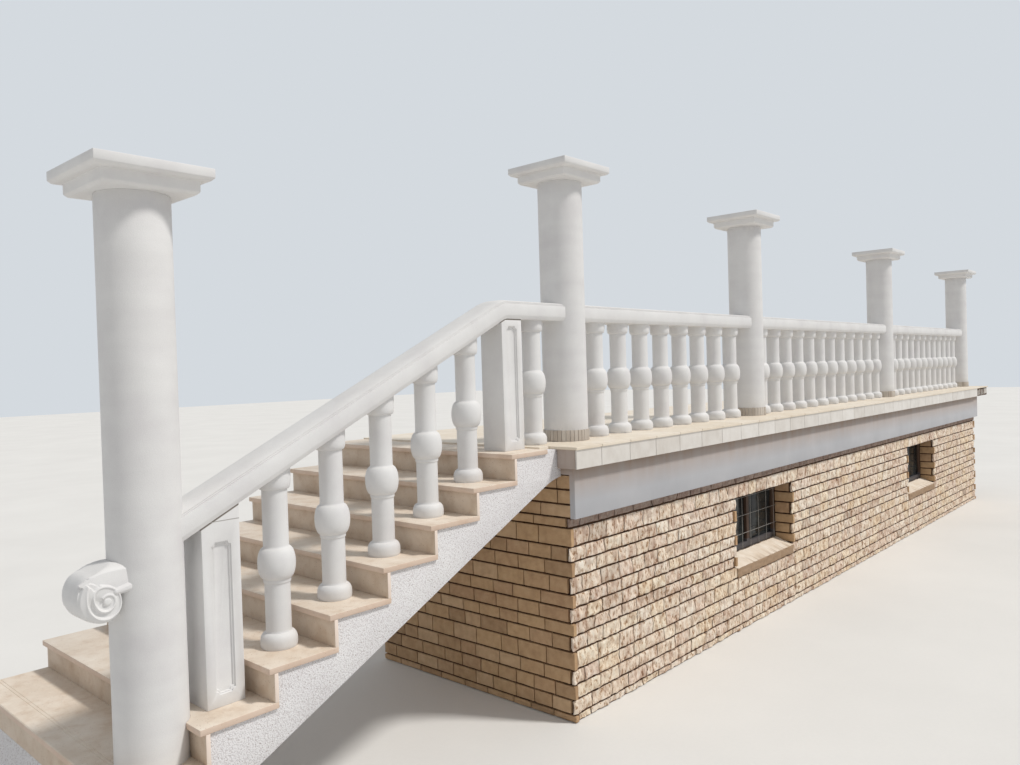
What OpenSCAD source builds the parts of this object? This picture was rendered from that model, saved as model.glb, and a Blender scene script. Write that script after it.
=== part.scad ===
// Cast-stone balustrade on a raised terrace: five columns with plate capitals,
// level rails on turned balusters, a raking rail down the stair that ends in a
// volute, two panelled newels, the stair flight, and the stone base below.
// X runs along the front, Y towards the house side, Z up. The origin lies under
// the axis of the corner column, at the lowest ground that the base meets.

/* [Terrace] */
// Height of the terrace floor above the lowest ground
terrace_h = 1750; // [1600:10:2000]
// From the balustrade's axis to the house side of the terrace
terrace_depth = 1590; // [1300:10:2200]
// How far the floor's edge stands out from the balustrade's axis
edge_out = 397; // [370:1:420]
// How far the floor runs past the corner column's axis
edge_near = 405; // [400:1:440]
// How far the floor runs past the last column's axis
edge_far = 165; // [165:1:400]
// Depth of the floor's edge, tiles and slab together
edge_h = 138; // [110:1:170]
// Thickness of the floor tiles
tile_t = 18; // [12:1:25]
// Thickness of the tiles on the edge
fascia_t = 12; // [8:1:18]
// How far the floor tiles stand over the edge tiles
tile_nose = 8; // [4:1:14]
// Length of the edge tile that is missing at the far end
missing_l = 640; // [300:10:900]

/* [Base walls] */
// Front face of the stone, out from the balustrade's axis
wall_out = 299; // [280:1:310]
// Near face of the stone, out from the corner column's axis
wall_near = 362; // [340:1:380]
// Far face of the stone, short of the last column's axis
wall_back_off = 300; // [200:10:400]
// Thickness of the front and end walls
wall_t = 400; // [330:10:430]
// Thickness of the rear wall
rear_t = 300; // [200:10:400]
// Height of the rendered beam under the floor's edge
beam_h = 317; // [260:1:360]
// How far the rendered beam stands out from the stone
beam_out = 40; // [20:1:60]
// Height of the rendered strip over the stone of the sides
side_strip = 43; // [30:1:60]

/* [Cellar windows] */
// Left edge of the near window, from the corner column's axis
window_1_x = 1870; // [1600:10:2200]
// Left edge of the far window, from the corner column's axis
window_2_x = 6520; // [6000:10:7000]
// Width of a window opening
window_w = 1120; // [800:10:1300]
// Height of a window opening
window_h = 520; // [400:10:560]
// Top of the openings below the terrace floor
window_drop = 640; // [600:5:700]
// Depth of the reveal in front of a window frame
reveal_d = 180; // [120:5:220]
// Depth of a window frame, front to back
frame_d = 60; // [45:1:80]
// Width of a frame's members
frame_w = 50; // [35:1:70]
// Thickness of the glass
glass_t = 8; // [4:1:12]
// Thickness of a window sill
sill_t = 45; // [30:1:60]
// How far a sill stands out from the stone
sill_out = 45; // [20:1:80]

/* [Columns] */
// Radius of a column
col_r = 150; // [130:1:155]
// From the corner column's axis to the column at the foot of the stair
foot_bay = 2869; // [2850:1:2900]
// First bay, from the corner column to the next
bay_1 = 2740; // [2600:10:2900]
// Second bay
bay_2 = 3750; // [3720:10:3900]
// Third bay
bay_3 = 3700; // [3700:10:3900]
// Top of the capitals above the terrace floor
cap_top = 1845; // [1500:5:2300]
// Top of the foot column's capital above the terrace floor
foot_cap_top = 1369; // [1200:1:1500]
// Width of a capital's upper plate
abacus_w = 490; // [440:1:540]
// Thickness of a capital's upper plate
abacus_t = 52; // [40:1:70]
// Width of a capital's lower plate
echinus_w = 400; // [330:1:430]
// Thickness of a capital's lower plate
echinus_t = 58; // [40:1:70]
// Bevel under each plate of a capital
cap_bevel = 13; // [6:1:18]
// Height of the tiled skirting round a column
skirt_h = 75; // [50:1:100]
// Thickness of the tiled skirting
skirt_t = 8; // [6:1:12]

/* [Rails] */
// Underside of the level rail above the terrace floor
rail_z = 802; // [780:1:840]
// Width of the rail
rail_w = 210; // [200:1:230]
// Whole thickness of the rail
rail_h = 118; // [100:1:130]
// Height of the rail's upright side above its bottom bevel
rail_side_h = 72; // [55:1:78]
// Width of the bevel along the rail's bottom edges
rail_bevel = 12; // [6:1:16]
// Height of that bevel
rail_bevel_h = 22; // [12:1:26]
// Width of the rail's flat top
rail_top_w = 104; // [80:1:130]
// Radius of the bend's underside
bend_r = 120; // [80:5:200]

/* [Volute] */
// From the foot column's axis to the volute's eye
volute_reach = 208; // [203:1:220]
// Height of the volute's eye below the terrace floor
volute_drop = 383; // [372:1:392]
// Radius of the scroll where it leaves the neck
scroll_r = 88; // [86:1:92]
// How much the scroll tightens over its first quarter turn
scroll_draw = 14; // [12:1:16]
// How much it tightens over each later quarter turn
scroll_tighten = 5; // [4:1:6]
// How far the scroll's back swells between its faces
scroll_swell = 12; // [8:1:14]
// Half the width of the scroll over its ridges
scroll_half = 105; // [100:1:108]
// Radius of the scroll's rounded rim
scroll_rim = 5; // [4:1:7]
// Height of the spiral ridge on the scroll's faces
ridge_h = 8; // [5:1:10]
// Width of the spiral ridge
ridge_w = 9; // [7:1:10]
// Radius of the eye
eye_r = 15; // [12:1:16]
// Height of the neck above its underside
neck_h = 128; // [122:1:132]
// Radius of the neck's underside
neck_r = 185; // [175:5:200]

/* [Balusters] */
// Largest radius of a baluster, at its ball
ball_r = 89; // [80:1:92]
// Radius of a baluster's shaft
shaft_r = 60; // [50:1:66]
// Radius of a baluster's base
foot_r = 87; // [78:1:90]
// Radius of a baluster's capital
head_r = 77; // [70:1:84]
// Spacing of the balusters in the level bays
baluster_pitch = 292; // [250:1:292]
// Height of the ball's middle above a baluster's base
ball_z = 400; // [380:1:420]
// Height of the ball
ball_h = 148; // [140:1:156]
// Height of the base's upright side
foot_h = 32; // [26:1:50]
// Height of the base's round shoulder
foot_round = 42; // [34:1:56]
// Height of the capital's upright side on a level baluster
head_h = 34; // [26:1:44]
// Height of the capital's round underside
head_round = 38; // [30:1:44]

/* [Newels] */
// Width of a square newel
newel_w = 180; // [170:1:190]
// Width of a newel's sunk panel
panel_w = 92; // [70:1:110]
// Depth of a newel's sunk panel
panel_d = 16; // [10:1:20]
// Width of the moulded step round the panel
panel_step = 7; // [4:1:10]
// Radius of the hollows in the panel's corners
panel_notch = 16; // [10:1:20]
// Height of a newel's panel foot above the newel's foot
panel_foot = 54; // [46:1:120]
// Head of the upper newel's panel below the level rail
panel_head = 46; // [36:1:110]
// Head of the lower newel's panel below the low side of its raking cut
rake_panel_head = 72; // [60:1:110]

/* [Stair] */
// Height of one step
rise = 157; // [145:1:165]
// Depth of one step, nosing to nosing
going = 325; // [315:1:340]
// How far the upper landing lies below the terrace floor
landing_drop = 10; // [5:1:15]
// Nosing of the landing, out from the corner column's axis
landing_x = 830; // [820:1:850]
// Thickness of a tread
tread_t = 28; // [20:1:35]
// How far a nosing stands out from its riser
nosing = 24; // [15:1:35]
// Thickness of a riser
riser_t = 20; // [12:1:25]
// End of the treads, out from the balustrade's axis
tread_out = 245; // [235:1:260]
// How far the plastered flight is set back from the tread ends
flight_set = 14; // [8:1:25]
// Upright depth of the flight below the line of the nosings
flight_h = 380; // [350:5:420]
// Depth of the flight's level soffit below the terrace floor
soffit_drop = 188; // [180:1:230]
// Radius of the curve where the flight's underside turns level
soffit_r = 500; // [200:50:700]
// From a nosing to the axis of its baluster or newel
baluster_set = 203; // [190:1:215]

/* [Hidden] */

$fn = 64;
// gap where a curved face meets another piece
joint = 0.3;
// small overlap of shapes that are one casting
lap = 0.5;

stone = [0.78, 0.70, 0.60];
render_grey = [0.66, 0.63, 0.66];
travertine = [0.86, 0.80, 0.72];
cast_white = [0.93, 0.93, 0.92];
plaster_white = [0.90, 0.90, 0.90];

steps = 8;
slope = atan(rise / going);
stair_t = terrace_h - landing_drop;
function nosing_x(k) = -landing_x - (steps - k) * going;
function tread_z(k) = stair_t - (steps - k) * rise;
function step_axis(k) = nosing_x(k) + baluster_set;
foot_z = tread_z(1) - rise;

col_x = [-foot_bay, 0, bay_1, bay_1 + bay_2, bay_1 + bay_2 + bay_3];
floor_x0 = -edge_near;
floor_x1 = col_x[4] + edge_far;
deck_x0 = floor_x0 + tile_nose + fascia_t;
deck_x1 = floor_x1 - tile_nose - fascia_t;
deck_y0 = -edge_out + tile_nose + fascia_t;
deck_z0 = terrace_h - edge_h;
wall_x0 = -wall_near;
wall_x1 = col_x[4] - wall_back_off;
wall_y0 = -wall_out;
wall_y1 = wall_y0 + wall_t;
rear_y0 = terrace_depth - rear_t;
beam_z0 = deck_z0 - beam_h;
side_z1 = deck_z0 - side_strip;
window_z1 = terrace_h - window_drop;
window_z0 = window_z1 - window_h;
frame_y0 = wall_y0 + reveal_d;

// rail: level underside, and the raking underside that meets it at the bend
rail_z0 = terrace_h + rail_z;
rake_clear = 741;
function rake_z(x) = stair_t + rake_clear + (x + landing_x) * rise / going;
bend_x = -landing_x + (rail_z0 - stair_t - rake_clear) * going / rise;
bend_cx = bend_x + bend_r * tan(slope / 2);

// A block between two corners
module block(a, b) {
    translate(a) cube(b - a);
}

// A profile drawn in X and Z, given depth along Y from y0 to y1
module slice_y(y0, y1) {
    translate([0, y1, 0]) rotate([90, 0, 0]) linear_extrude(y1 - y0) children();
}

module front_wall() {
    color(stone) difference() {
        block([wall_x0, wall_y0, 0], [wall_x1, wall_y1, beam_z0]);
        for (x = [window_1_x, window_2_x])
            block([x, wall_y0 - 1, window_z0 - sill_t], [x + window_w, wall_y1 + 1, window_z1]);
    }
}

// A side wall with its near face at x0. Its stone closes the end of the beam.
module side_wall(x0) {
    block([x0, wall_y1, 0], [x0 + wall_t, rear_y0, side_z1]);
    block([x0, wall_y0, beam_z0], [x0 + wall_t, wall_y1 + lap, side_z1]);
}

module return_wall() {
    color(stone) side_wall(wall_x0);
}

module end_wall() {
    color(stone) side_wall(wall_x1 - wall_t);
}

module rear_wall() {
    color(stone) block([wall_x0, rear_y0, 0], [wall_x1, terrace_depth, deck_z0]);
}

// The beam is deep at the front and only a strip over the stone of the sides
module edge_beam() {
    color(render_grey) {
        block([wall_x0, wall_y0 - beam_out, beam_z0], [wall_x1, wall_y0, deck_z0]);
        block([wall_x0 + wall_t, wall_y0 - lap, beam_z0], [wall_x1 - wall_t, wall_y1, deck_z0]);
        for (x = [wall_x0, wall_x1 - wall_t - lap])
            block([x, wall_y0 - lap, side_z1], [x + wall_t + lap, rear_y0, deck_z0]);
    }
}

module deck_slab() {
    color(render_grey)
        block([deck_x0, deck_y0, deck_z0], [deck_x1, terrace_depth, terrace_h - tile_t]);
}

// From the landing's side the floor runs out to the landing tread
landing_past = 5;
landing_end = -landing_x + going + landing_past;
tongue_y0 = -180;
module floor_tiles() {
    color(travertine) union() {
        block([floor_x0, -edge_out, terrace_h - tile_t], [floor_x1, terrace_depth, terrace_h]);
        block([landing_end, tongue_y0, terrace_h - tile_t], [floor_x0 + 1, terrace_depth, terrace_h]);
    }
}

module edge_tiles() {
    z1 = terrace_h - tile_t;
    near_y1 = -tread_out + flight_set;
    color(travertine) {
        union() {
            block([deck_x0 - fascia_t, deck_y0 - fascia_t, deck_z0], [deck_x1 - missing_l, deck_y0, z1]);
            block([deck_x0 - fascia_t, deck_y0 - fascia_t, deck_z0], [deck_x0, near_y1, z1]);
        }
        block([deck_x1, deck_y0 + missing_l / 2, deck_z0], [deck_x1 + fascia_t, terrace_depth, z1]);
    }
}

module window_frames() {
    color([0.35, 0.26, 0.20])
        for (x = [window_1_x, window_2_x])
            difference() {
                block([x, frame_y0, window_z0], [x + window_w, frame_y0 + frame_d, window_z1]);
                for (s = [0, 1])
                    block(
                        [x + frame_w + s * (window_w - frame_w) / 2, frame_y0 - 1, window_z0 + frame_w],
                        [x + frame_w + (window_w - 3 * frame_w) / 2 + s * (window_w - frame_w) / 2,
                            frame_y0 + frame_d + 1, window_z1 - frame_w]);
            }
}

module window_glass() {
    y0 = frame_y0 + (frame_d - glass_t) / 2;
    w = (window_w - 3 * frame_w) / 2;
    color([0.20, 0.24, 0.26])
        for (x = [window_1_x, window_2_x])
            for (s = [0, 1])
                block([x + frame_w + s * (w + frame_w), y0, window_z0 + frame_w],
                    [x + frame_w + s * (w + frame_w) + w, y0 + glass_t, window_z1 - frame_w]);
}

module window_sills() {
    color(stone)
        for (x = [window_1_x, window_2_x])
            block([x, wall_y0 - sill_out, window_z0 - sill_t], [x + window_w, wall_y1, window_z0]);
}

// A square plate of width w and thickness t with its lower edges bevelled
module cap_plate(w, t) {
    profile = [[-w / 2, t], [-w / 2, cap_bevel], [cap_bevel - w / 2, 0],
        [w / 2 - cap_bevel, 0], [w / 2, cap_bevel], [w / 2, t]];
    intersection() {
        slice_y(-w, w) polygon(profile);
        rotate([0, 0, 90]) slice_y(-w, w) polygon(profile);
    }
}

module capital(i) {
    top = terrace_h + (i == 0 ? foot_cap_top : cap_top);
    color(cast_white) translate([col_x[i], 0, top - abacus_t - echinus_t]) union() {
        cap_plate(echinus_w, echinus_t + lap);
        translate([0, 0, echinus_t]) cap_plate(abacus_w, abacus_t);
    }
}

module column(i) {
    z0 = i == 0 ? 0 : terrace_h;
    z1 = terrace_h + (i == 0 ? foot_cap_top : cap_top) - abacus_t - echinus_t;
    color(cast_white) translate([col_x[i], 0, z0]) cylinder(h = z1 - z0, r = col_r);
}

module column_skirtings() {
    color(travertine)
        for (i = [1:4])
            translate([col_x[i], 0, terrace_h]) difference() {
                cylinder(h = skirt_h, r = col_r + skirt_t);
                translate([0, 0, -1]) cylinder(h = skirt_h + 2, r = col_r + joint);
            }
}

// Section of the rail: Y across, Z up from its underside
rail_half = rail_w / 2;
rail_side_top = rail_bevel_h + rail_side_h;
// the quirk between the upright side and the crown
quirk_w = 8;
quirk_h = 9;
crown_z = rail_side_top + quirk_h;
rail_half_profile = [
    [rail_half - rail_bevel, 0],
    [rail_half, rail_bevel_h],
    [rail_half, rail_side_top],
    [rail_half - quirk_w, rail_side_top + quirk_h / 4],
    for (a = [0:22.5:90])
        [rail_top_w / 2 + (rail_half - quirk_w - rail_top_w / 2) * cos(a),
            crown_z + (rail_h - crown_z) * sin(a)]
];
// A section's right half, drawn upwards, followed by its mirror image
function whole(half) =
    concat(half, [for (i = [len(half) - 1:-1:0]) [-half[i][0], half[i][1]]]);
rail_profile = whole(rail_half_profile);

module rail_run(l) {
    rotate([90, 0, 90]) linear_extrude(l) polygon(rail_profile);
}

// Room for the columns that a rail ends against
module column_room() {
    for (x = col_x)
        translate([x, 0, 0]) cylinder(h = 3 * terrace_h, r = col_r + joint);
}

module level_rail(i) {
    color(cast_white) difference() {
        translate([col_x[i], 0, rail_z0]) rail_run(col_x[i + 1] - col_x[i]);
        column_room();
    }
}

// The raking run from x0 up to the bend
module rake_run(x0) {
    top_x = bend_cx - bend_r * sin(slope);
    run = (top_x - x0) / cos(slope);
    translate([top_x, 0, rake_z(top_x)]) rotate([0, -slope, 0])
        translate([-run, 0, 0]) rail_run(run + lap);
}

module raking_rail() {
    color(cast_white) difference() {
        union() {
            rake_run(col_x[0]);
            translate([bend_cx, 0, rail_z0 - bend_r]) rotate([90, 0, 0]) rotate([0, 0, 90])
                rotate_extrude(angle = slope) translate([bend_r, 0]) rotate(-90)
                    mirror([1, 0]) polygon(rail_profile);
            translate([bend_cx - lap, 0, rail_z0]) rail_run(-bend_cx + lap);
        }
        column_room();
    }
}

// Volute. Its neck leaves the column level and bends down over the scroll; the
// near side runs on to a pointed tip. The scroll is turned in quarters, each
// tighter than the last and struck from its own centre, as a mason sets out a
// spiral. Positions here are measured from the eye.
volute_x = col_x[0] - volute_reach;
volute_z = terrace_h - volute_drop;
neck_half = scroll_half - ridge_h;
neck_z0 = 18;
neck_bend_x = 47;
tip_a = 29;
neck_end_a = 42;
neck_under_w = 78;
neck_top = neck_h - 24;
neck_lean = 6;
// where the crown's round starts: in from the side, and up from its top
crown_in = 5;
crown_up = 3;
tip_t = 17;
// the rounded band along the neck's foot: heights, and how far it stands out
band_z = [12, 22, 38, 54];
band_out = ridge_h + 3;
band_end_x = 38;
neck_profile = whole(concat(
    [[neck_under_w, 0], [neck_half + 2, band_z[0]], [neck_half + band_out, band_z[1]],
        [neck_half + band_out, band_z[2]], [neck_half, band_z[3]], [neck_half - neck_lean, neck_top]],
    [for (a = [0:30:90])
        [rail_top_w / 2 + (neck_half - neck_lean - crown_in - rail_top_w / 2) * cos(a),
            neck_h + (neck_top + crown_up - neck_h) * (1 - sin(a))]]
));
// outline of the neck's back where it sinks to the scroll, and a place far outside
neck_back = [[neck_bend_x, neck_z0 + neck_h], [31, 139], [4, 130], [-26, 120], [-56, 113],
    [-73, 101], [-87, 78], [-95, 53], [-98, 25], [-96, 3], [-90, -20]];
away = 3 * scroll_r;

// What is cut away past the neck's back; closer in towards the two faces
module past_back(y0, y1, k) {
    foot_x = k * neck_back[len(neck_back) - 1][0];
    slice_y(y0, y1)
        polygon(concat([for (p = neck_back) [p[0] < 0 ? k * p[0] : p[0], p[1]]],
            [[foot_x, -away], [-away, -away], [-away, away], [neck_bend_x, away]]));
}

module neck() {
    shoulder = neck_half - 30;
    difference() {
        union() {
            translate([neck_bend_x, 0, neck_z0 - neck_r]) rotate([90, 0, 0]) rotate([0, 0, 90])
                rotate_extrude(angle = neck_end_a)
                    translate([neck_r, 0]) rotate(-90) mirror([1, 0]) polygon(neck_profile);
            translate([neck_bend_x - lap, 0, neck_z0]) rotate([90, 0, 90])
                linear_extrude(volute_reach - neck_bend_x) polygon(neck_profile);
        }
        past_back(tip_t - neck_half, -shoulder, 0.93);
        past_back(-shoulder, shoulder, 1);
        past_back(shoulder, 2 * neck_half, 0.93);
        // the near side ends in a tip
        translate([neck_bend_x, 0, neck_z0 - neck_r]) slice_y(-2 * neck_half, tip_t - neck_half)
            rotate(tip_a) translate([-away, 0]) square([away, 2 * away]);
        // the band stops where it runs into the scroll's ridge
        for (y = [-2 * neck_half, neck_half])
            slice_y(y, y + neck_half) translate([-away, 0]) square([away + band_end_x, neck_z0 + neck_top]);
    }
}

// Half the section of the scroll, from its axis to its rim
function scroll_side(r) = concat(
    [[0, neck_half], [r - scroll_rim - ridge_w - 3, neck_half], [r - scroll_rim - ridge_w, scroll_half],
        [r - scroll_rim, scroll_half]],
    [for (s = [1:-0.25:0.25]) [r + scroll_swell * (1 - s * s), s * (scroll_half - scroll_rim)]]
);
function scroll_section(r) =
    let (side = scroll_side(r))
        concat([for (p = side) [p[0], -p[1]]], [for (i = [len(side) - 1:-1:0]) side[i]]);
scroll_start = 90 + tip_a - 3;
function quarter_step(i) = i == 0 ? scroll_draw : scroll_tighten;
function quarter_r(i) = i == 0 ? scroll_r : quarter_r(i - 1) - quarter_step(i - 1);
function quarter_a(i) = scroll_start + 90 * i;
function quarter_way(i) = [cos(quarter_a(i)), sin(quarter_a(i))];
// offset of a quarter's centre; the third quarter is struck from the middle
function quarter_c(i) = i == 2 ? [0, 0]
    : i > 2 ? quarter_c(i - 1) + quarter_step(i - 1) * quarter_way(i)
    : quarter_c(i + 1) - quarter_step(i) * quarter_way(i + 1);
module scroll() {
    for (i = [0:3])
        translate([quarter_c(i)[0], 0, quarter_c(i)[1]]) rotate([90, 0, 0]) rotate([0, 0, quarter_a(i)])
            rotate_extrude(angle = 90.2) polygon(scroll_section(quarter_r(i)));
    slice_y(-neck_half, neck_half) circle(r = scroll_r / 2);
}

// The inner turn of the spiral ridge, wound clockwise outwards as seen from the
// front, and the eye, which lies a little off the scroll's middle
eye_at = [11, 4];
ridge_r0 = 26;
ridge_pitch = 36;
ridge_a0 = 80;
ridge_turn = 320;
function ridge_point(t, side) =
    let (r = ridge_r0 + ridge_pitch * t / 360 + side * ridge_w / 2, a = ridge_a0 - t)
        [r * cos(a), r * sin(a)];
module inner_ridge() {
    translate(eye_at) {
        polygon(concat([for (t = [0:20:ridge_turn]) ridge_point(t, 1)],
            [for (t = [ridge_turn:-20:0]) ridge_point(t, -1)]));
        circle(r = eye_r, $fn = 32);
    }
}

module volute() {
    color(cast_white) difference() {
        translate([volute_x, 0, volute_z]) union() {
            neck();
            scroll();
            slice_y(-scroll_half, lap - neck_half) inner_ridge();
            slice_y(neck_half - lap, scroll_half) inner_ridge();
        }
        column_room();
    }
}

// Turned baluster that is h high, with the capital's round underside at head_z
collar_h = 16;
collar_w = 5;
module baluster_turned(h, head_z) {
    ball_z0 = ball_z - ball_h / 2;
    ball_z1 = ball_z + ball_h / 2;
    rotate_extrude()
        polygon(concat(
            [[0, 0], [foot_r - 3, 0], [foot_r, foot_h / 3], [foot_r, foot_h]],
            [for (a = [15:15:90])
                [shaft_r + (foot_r - shaft_r) * cos(a), foot_h + foot_round * sin(a)]],
            [[shaft_r, ball_z0 - collar_h], [shaft_r + collar_w, ball_z0 - collar_h],
                [shaft_r + collar_w, ball_z0]],
            [for (a = [-80:16:80])
                [shaft_r + (ball_r - shaft_r) * cos(a), ball_z + ball_h / 2 * sin(a) / sin(80)]],
            [[shaft_r, ball_z1], [shaft_r, head_z], [shaft_r + collar_w, head_z]],
            [for (a = [18:18:90])
                [shaft_r + collar_w + (head_r - shaft_r - collar_w) * sin(a),
                    head_z + head_round * (1 - cos(a))]],
            [[head_r, h], [0, h]]
        ));
}

module level_baluster() {
    baluster_turned(rail_z, rail_z - head_h - head_round);
}

function bay_count(i) =
    floor((col_x[i + 1] - col_x[i] - 2 * (col_r + foot_r + skirt_t)) / baluster_pitch) + 1;
module baluster_bay(i) {
    span = col_x[i + 1] - col_x[i];
    n = bay_count(i);
    first = (span - (n - 1) * baluster_pitch) / 2;
    color(cast_white)
        for (k = [0:n - 1])
            translate([col_x[i] + first + k * baluster_pitch, 0, terrace_h]) level_baluster();
}

module landing_baluster() {
    newel_x = step_axis(steps);
    color(cast_white) translate([(newel_x + newel_w / 2 - col_r) / 2, 0, terrace_h]) level_baluster();
}

// Everything above the raking underside of the rail
module above_rake() {
    x0 = bend_x - 2 * foot_bay;
    z1 = 3 * terrace_h;
    slice_y(-rail_w, rail_w)
        polygon([[bend_x, rake_z(bend_x)], [x0, rake_z(x0)], [x0, z1], [bend_x, z1]]);
}

// the raking rail leaves a low upright side on each capital's low side
stair_lip = 12;
stair_head_z = rake_clear + (baluster_set - head_r) * rise / going - head_round - stair_lip;
module stair_balusters() {
    color(cast_white) difference() {
        for (k = [3:7])
            translate([step_axis(k), 0, tread_z(k)])
                baluster_turned(rake_clear + 2 * baluster_set, stair_head_z);
        above_rake();
    }
}

// Outline of a panel with hollow corners, half as wide as w, from z0 to z1
module panel_outline(w, z0, z1) {
    difference() {
        translate([-w, z0]) square([2 * w, z1 - z0]);
        for (x = [-w, w], z = [z0, z1])
            translate([x, z]) circle(r = panel_notch, $fn = 24);
    }
}

// Sunk panel with a moulded step round it, on the front face of a newel
module newel_panel(z0, z1) {
    y = -newel_w / 2;
    slice_y(y - 1, y + panel_d / 2) panel_outline(panel_w / 2, z0, z1);
    slice_y(y - 1, y + panel_d) panel_outline(panel_w / 2 - panel_step, z0 + panel_step, z1 - panel_step);
}

module newel_post(h, panel_top) {
    difference() {
        translate([-newel_w / 2, -newel_w / 2, 0]) cube([newel_w, newel_w, h]);
        for (a = [0, 180]) rotate([0, 0, a]) newel_panel(panel_foot, panel_top);
    }
}

module newel_lower() {
    x = step_axis(2);
    low = rake_z(x - newel_w / 2) - tread_z(2);
    color(cast_white) difference() {
        translate([x, 0, tread_z(2)]) newel_post(low + newel_w, low - rake_panel_head);
        above_rake();
    }
}

module newel_upper() {
    h = rail_z0 - stair_t;
    color(cast_white) difference() {
        translate([step_axis(steps), 0, stair_t]) newel_post(h, h - panel_head);
        above_rake();
    }
}

soffit_z = terrace_h - soffit_drop;
// where the flight's raking underside is at height z
function underside_x(z) = -landing_x + (z - stair_t + flight_h) * going / rise;
flight_y0 = -tread_out + flight_set;
// centre of the curve that joins the raking underside to the level soffit
soffit_cx = underside_x(soffit_z) + soffit_r * tan(slope / 2);

module stair_footing() {
    color(plaster_white) difference() {
        block([nosing_x(1) + nosing, flight_y0, 0], [underside_x(foot_z), terrace_depth, foot_z]);
        column_room();
    }
}

module stair_flight() {
    steps_line = [for (k = [1:steps], j = [0, 1])
        [nosing_x(k) + nosing + riser_t, (j == 0 ? tread_z(k) - rise : tread_z(k)) - tread_t]];
    first = nosing_x(1) + nosing + riser_t;
    color(plaster_white) difference() {
        slice_y(flight_y0, terrace_depth)
            polygon(concat(
                [[first, foot_z]],
                [for (i = [1:len(steps_line) - 1]) steps_line[i]],
                [[landing_end, stair_t - tread_t], [landing_end, terrace_h - tile_t],
                    [deck_x0, terrace_h - tile_t], [deck_x0, deck_z0], [wall_x0, deck_z0],
                    [wall_x0, soffit_z]],
                [for (a = [0:slope / 6:slope + 0.01])
                    [soffit_cx - soffit_r * sin(a), soffit_z - soffit_r * (1 - cos(a))]],
                [[underside_x(foot_z), foot_z]]
            ));
        column_room();
    }
}

module risers() {
    color(travertine) difference() {
        union()
            for (k = [1:steps])
                block([nosing_x(k) + nosing, -tread_out, tread_z(k) - rise],
                    [nosing_x(k) + nosing + riser_t, terrace_depth, tread_z(k) - tread_t]);
        column_room();
    }
}

module tread(k) {
    x1 = k == steps ? landing_end : nosing_x(k + 1) + nosing + riser_t;
    color(travertine) difference() {
        block([nosing_x(k), -tread_out, tread_z(k) - tread_t], [x1, terrace_depth, tread_z(k)]);
        column_room();
    }
}

front_wall();
return_wall();
end_wall();
rear_wall();
edge_beam();
deck_slab();
floor_tiles();
edge_tiles();
window_frames();
window_glass();
window_sills();
column(0);  // column_1
column(1);  // column_2
column(2);  // column_3
column(3);  // column_4
column(4);  // column_5
capital(0);  // capital_1
capital(1);  // capital_2
capital(2);  // capital_3
capital(3);  // capital_4
capital(4);  // capital_5
column_skirtings();
raking_rail();
volute();
level_rail(1);  // rail_bay_1
level_rail(2);  // rail_bay_2
level_rail(3);  // rail_bay_3
newel_lower();
newel_upper();
stair_balusters();
landing_baluster();
baluster_bay(1);  // balusters_bay_1
baluster_bay(2);  // balusters_bay_2
baluster_bay(3);  // balusters_bay_3
stair_footing();
stair_flight();
risers();
tread(1);  // tread_1
tread(2);  // tread_2
tread(3);  // tread_3
tread(4);  // tread_4
tread(5);  // tread_5
tread(6);  // tread_6
tread(7);  // tread_7
tread(8);  // tread_8
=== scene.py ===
# %% [markdown]
# # A cast-stone balustrade on a raised terrace
# This lesson dresses a finished CAD model. The real object is a terrace edge:
# a stone base wall, a rendered beam, a tiled floor edge, five cast columns with
# plate capitals, rails on turned balusters, and a stair whose raking rail ends
# in a volute. The CAD solids give every size. Here each of them makes way for
# a better mesh in the same place, or for a copy with softened edges, and gets
# the look of its material.
# The frame is loaded first, and the boxes of its solids are read from it.

# %% Load the frame
import math
import random

import bmesh
import bpy
from mathutils import Matrix, Vector


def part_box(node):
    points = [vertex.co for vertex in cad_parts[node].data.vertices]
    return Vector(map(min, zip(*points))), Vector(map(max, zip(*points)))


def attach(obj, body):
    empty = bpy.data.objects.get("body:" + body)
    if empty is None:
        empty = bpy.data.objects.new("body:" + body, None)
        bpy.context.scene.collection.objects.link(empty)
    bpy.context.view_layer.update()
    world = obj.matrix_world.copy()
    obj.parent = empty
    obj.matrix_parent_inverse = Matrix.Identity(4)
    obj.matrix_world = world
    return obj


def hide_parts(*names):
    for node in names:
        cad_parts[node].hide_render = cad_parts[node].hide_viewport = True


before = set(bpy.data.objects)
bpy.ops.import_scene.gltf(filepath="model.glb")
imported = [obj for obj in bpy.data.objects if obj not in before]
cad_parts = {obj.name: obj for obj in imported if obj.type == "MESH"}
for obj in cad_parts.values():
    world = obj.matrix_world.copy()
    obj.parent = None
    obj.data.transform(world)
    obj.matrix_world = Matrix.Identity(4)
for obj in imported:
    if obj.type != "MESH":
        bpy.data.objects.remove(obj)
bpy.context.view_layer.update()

# %% [markdown]
# ## Camera
# The photograph was taken by somebody standing in front of the foot of the
# stair and looking along the balustrade. Its lens and place were worked out
# from the upright columns and the level edges. A camera in Blender first looks
# straight down, so it is tipped up, turned from +Y towards +X, and rolled.

# %% Camera
def put(name, data):
    """An object with this data, linked into the scene."""
    made = bpy.data.objects.new(name, data)
    bpy.context.collection.objects.link(made)
    return made


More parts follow.
